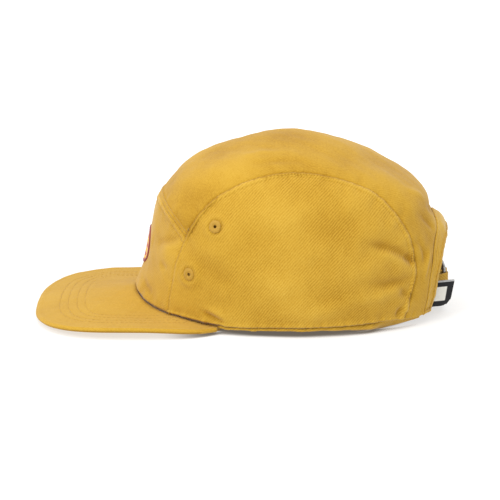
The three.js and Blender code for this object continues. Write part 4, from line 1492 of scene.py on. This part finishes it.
# Rows of topstitching: the panel, the edges that the row follows, how far inside them, and its name.
STITCHED_ROWS = (
    ("side_panel_left", ("top_panel", "front_panel", "back_panel"), TOPSTITCH_IN, "seam_stitching_left"),
    ("side_panel_right", ("top_panel", "front_panel", "back_panel"), TOPSTITCH_IN, "seam_stitching_right"),
    ("top_panel", ("front_panel",), FRONT_STITCH_IN, "front_seam_stitching_top"),
    ("front_panel", ("top_panel",), FRONT_STITCH_IN, "front_seam_stitching_low"),
    ("back_panel", ("open",), ARCH_STITCH_IN, "arch_stitching"),
)


def build():
    """Makes and fits all the pieces of the cap."""
    cloth = twill("washed_twill", by_cut)
    # The top panel's cloth has a lower level: painted darker, to take off the light that falls on it from
    # above.
    top_cloth = twill("top_twill", by_cut, angle=28, contrast=0.35, sheen=0.15, level=0.42)
    brim_cloth = twill("brim_twill", by_cut, angle=45, pitch=1.1, strength=0.35, contrast=0.35, sheen=0.15)
    band_cloth = twill("band_twill", by_cut, angle=40, pitch=1.4, strength=0.5)
    strap_cloth = twill("strap_twill", by_side, angle=40, pitch=1.3, strength=0.6)
    thread = thread_finish("sewing_thread", THREAD_OCHRE, THREAD_DEEP)
    made = {node: panel(node, cloth, side_shape) for node in SIDES}
    made["top_panel"] = panel("top_panel", top_cloth, top_shape, FINE_EDGE_TOP)
    made["front_panel"] = panel("front_panel", cloth, front_shape)
    made["back_panel"] = panel("back_panel", cloth, back_shape)
    for node, kinds, inset, name in STITCHED_ROWS:
        stitch_row(*made[node], kinds, inset, name, thread)
    brim_side = [made[node][1].run("brim")[0] for node in (*SIDES, "front_panel")]
    brim, outline = make_brim(brim_cloth, np.concatenate(brim_side))
    brim_stitching(brim, outline, thread)
    make_band(band_cloth, np.concatenate([made[node][1].run("open", "brim")[0] for node in SIDES]))
    make_webbing("strap", strap_cloth)
    make_webbing("strap_tab", strap_cloth)
    eyelet = thread_finish("eyelet_thread", EYELET_OCHRE, EYELET_DEEP)
    for node, middle, way in eyelet_spots:
        make_eyelet(node, middle, way, eyelet)
    make_buckle(metal_finish())
    make_label(label_finish())
    make_patch(patch_finish())


# Setting

# How far the floor is painted with shadow beside the cap, in mm, and the colour of that painted shadow.
CONTACT_REACH = 9.0
PAINTED_SHADOW_TONE = (0.15, 0.132, 0.112)
# The floor under the cap, in metres: middle and half sizes of the oval that the hem stands round, inside
# which shadow is painted on the floor.
UNDER_MIDDLE = 0.03
UNDER_HALF = (0.081, 0.088)
# The shade beside the cap begins behind the brim, between these two places, in metres.
SHADE_BEHIND_BRIM = (-0.055, -0.02)
# Squares of the distances between which the floor's glow turns white, in square metres.
FLOOR_WHITENS = (0.01, 0.16)
FLOOR_SIZE = 16
FLOOR_GLOW = (0.76, 0.755, 0.745)
FLOOR_WHITE = (1, 1, 1)
FLOOR_TONE = (0.36, 0.36, 0.36)
FLOOR_GRAIN = (0.4, 0.4, 0.4)
# The point at which the lamps aim, in metres.
LIT_POINT = (0, 0, 0.04)


def make_floor():
    """A pale floor that glows to stay white, with the cap's shadow painted into its glow and colour where
    the cap stands on it and shades it.
    """
    bpy.ops.object.select_all(action="DESELECT")
    bpy.ops.mesh.primitive_plane_add(size=FLOOR_SIZE)
    floor = bpy.context.active_object
    floor.name = "floor"
    made = Finish("pale_floor", roughness=0.7, specular_ior_level=0.1, emission_strength=0.85)
    place = made.object_place()
    grain = made.noise(place, 3.0)
    nearness = made.node("AmbientOcclusion", {"samples": 12}, {"Distance": CONTACT_REACH * MM}, 1)
    across, back, _ = made.parts(place)
    # Painted shadow: near the cap, and under it inside the hem, the floor's glow and colour are darkened.
    painted_shadow = (1 - nearness.between(0.12, 0.62)) * back.between(*SHADE_BEHIND_BRIM)
    oval = (across / UNDER_HALF[0]) ** 2.0 + ((back - UNDER_MIDDLE) / UNDER_HALF[1]) ** 2.0
    under = 1 - oval.between(0.86, 1.0)
    painted_shadow = painted_shadow + under - painted_shadow * under
    far = (across * across + back * back).between(*FLOOR_WHITENS)
    glow = made.mix(painted_shadow, made.mix(far, FLOOR_GLOW, FLOOR_WHITE), PAINTED_SHADOW_TONE)
    made.feed(made.shader.inputs["Emission Color"], glow)
    tone = made.mix(painted_shadow, FLOOR_TONE, PAINTED_SHADOW_TONE)
    floor.data.materials.append(made.finish(made.mix(grain * 0.04, tone, FLOOR_GRAIN)))


def make_light(name, place, size, power):
    """A large soft lamp that faces the cap."""
    lamp = bpy.data.lights.new(name, "AREA")
    lamp.shape = "DISK"
    lamp.size = size
    lamp.energy = power
    holder = bpy.data.objects.new(name, lamp)
    bpy.context.collection.objects.link(holder)
    holder.location = place
    holder.rotation_euler = (Vector(LIT_POINT) - Vector(place)).to_track_quat("-Z", "Y").to_euler()


def make_camera():
    """The camera at the photograph's place."""
    place, _, _, forward = camera_frame()
    camera = bpy.data.cameras.new("camera")
    camera.lens = CAMERA_LENS
    camera.sensor_width = SENSOR
    camera.clip_end = 50
    holder = bpy.data.objects.new("camera", camera)
    bpy.context.collection.objects.link(holder)
    holder.location = place * MM
    holder.rotation_euler = forward.to_track_quat("-Z", "Y").to_euler()
    bpy.context.scene.camera = holder


def make_world():
    """Even white light all round."""
    world = bpy.data.worlds.new("white_studio")
    world.use_nodes = True
    world.node_tree.nodes["Background"].inputs["Color"].default_value = (1, 1, 1, 1)
    world.node_tree.nodes["Background"].inputs["Strength"].default_value = 0.92
    bpy.context.scene.world = world
    bpy.context.scene.view_settings.view_transform = "Standard"


make_camera()
make_world()
make_floor()
make_light("key", (1.25, -0.95, 1.3), 1.0, 15.5)
make_light("overhead", (0.2, -0.1, 2.2), 1.6, 17)
build()
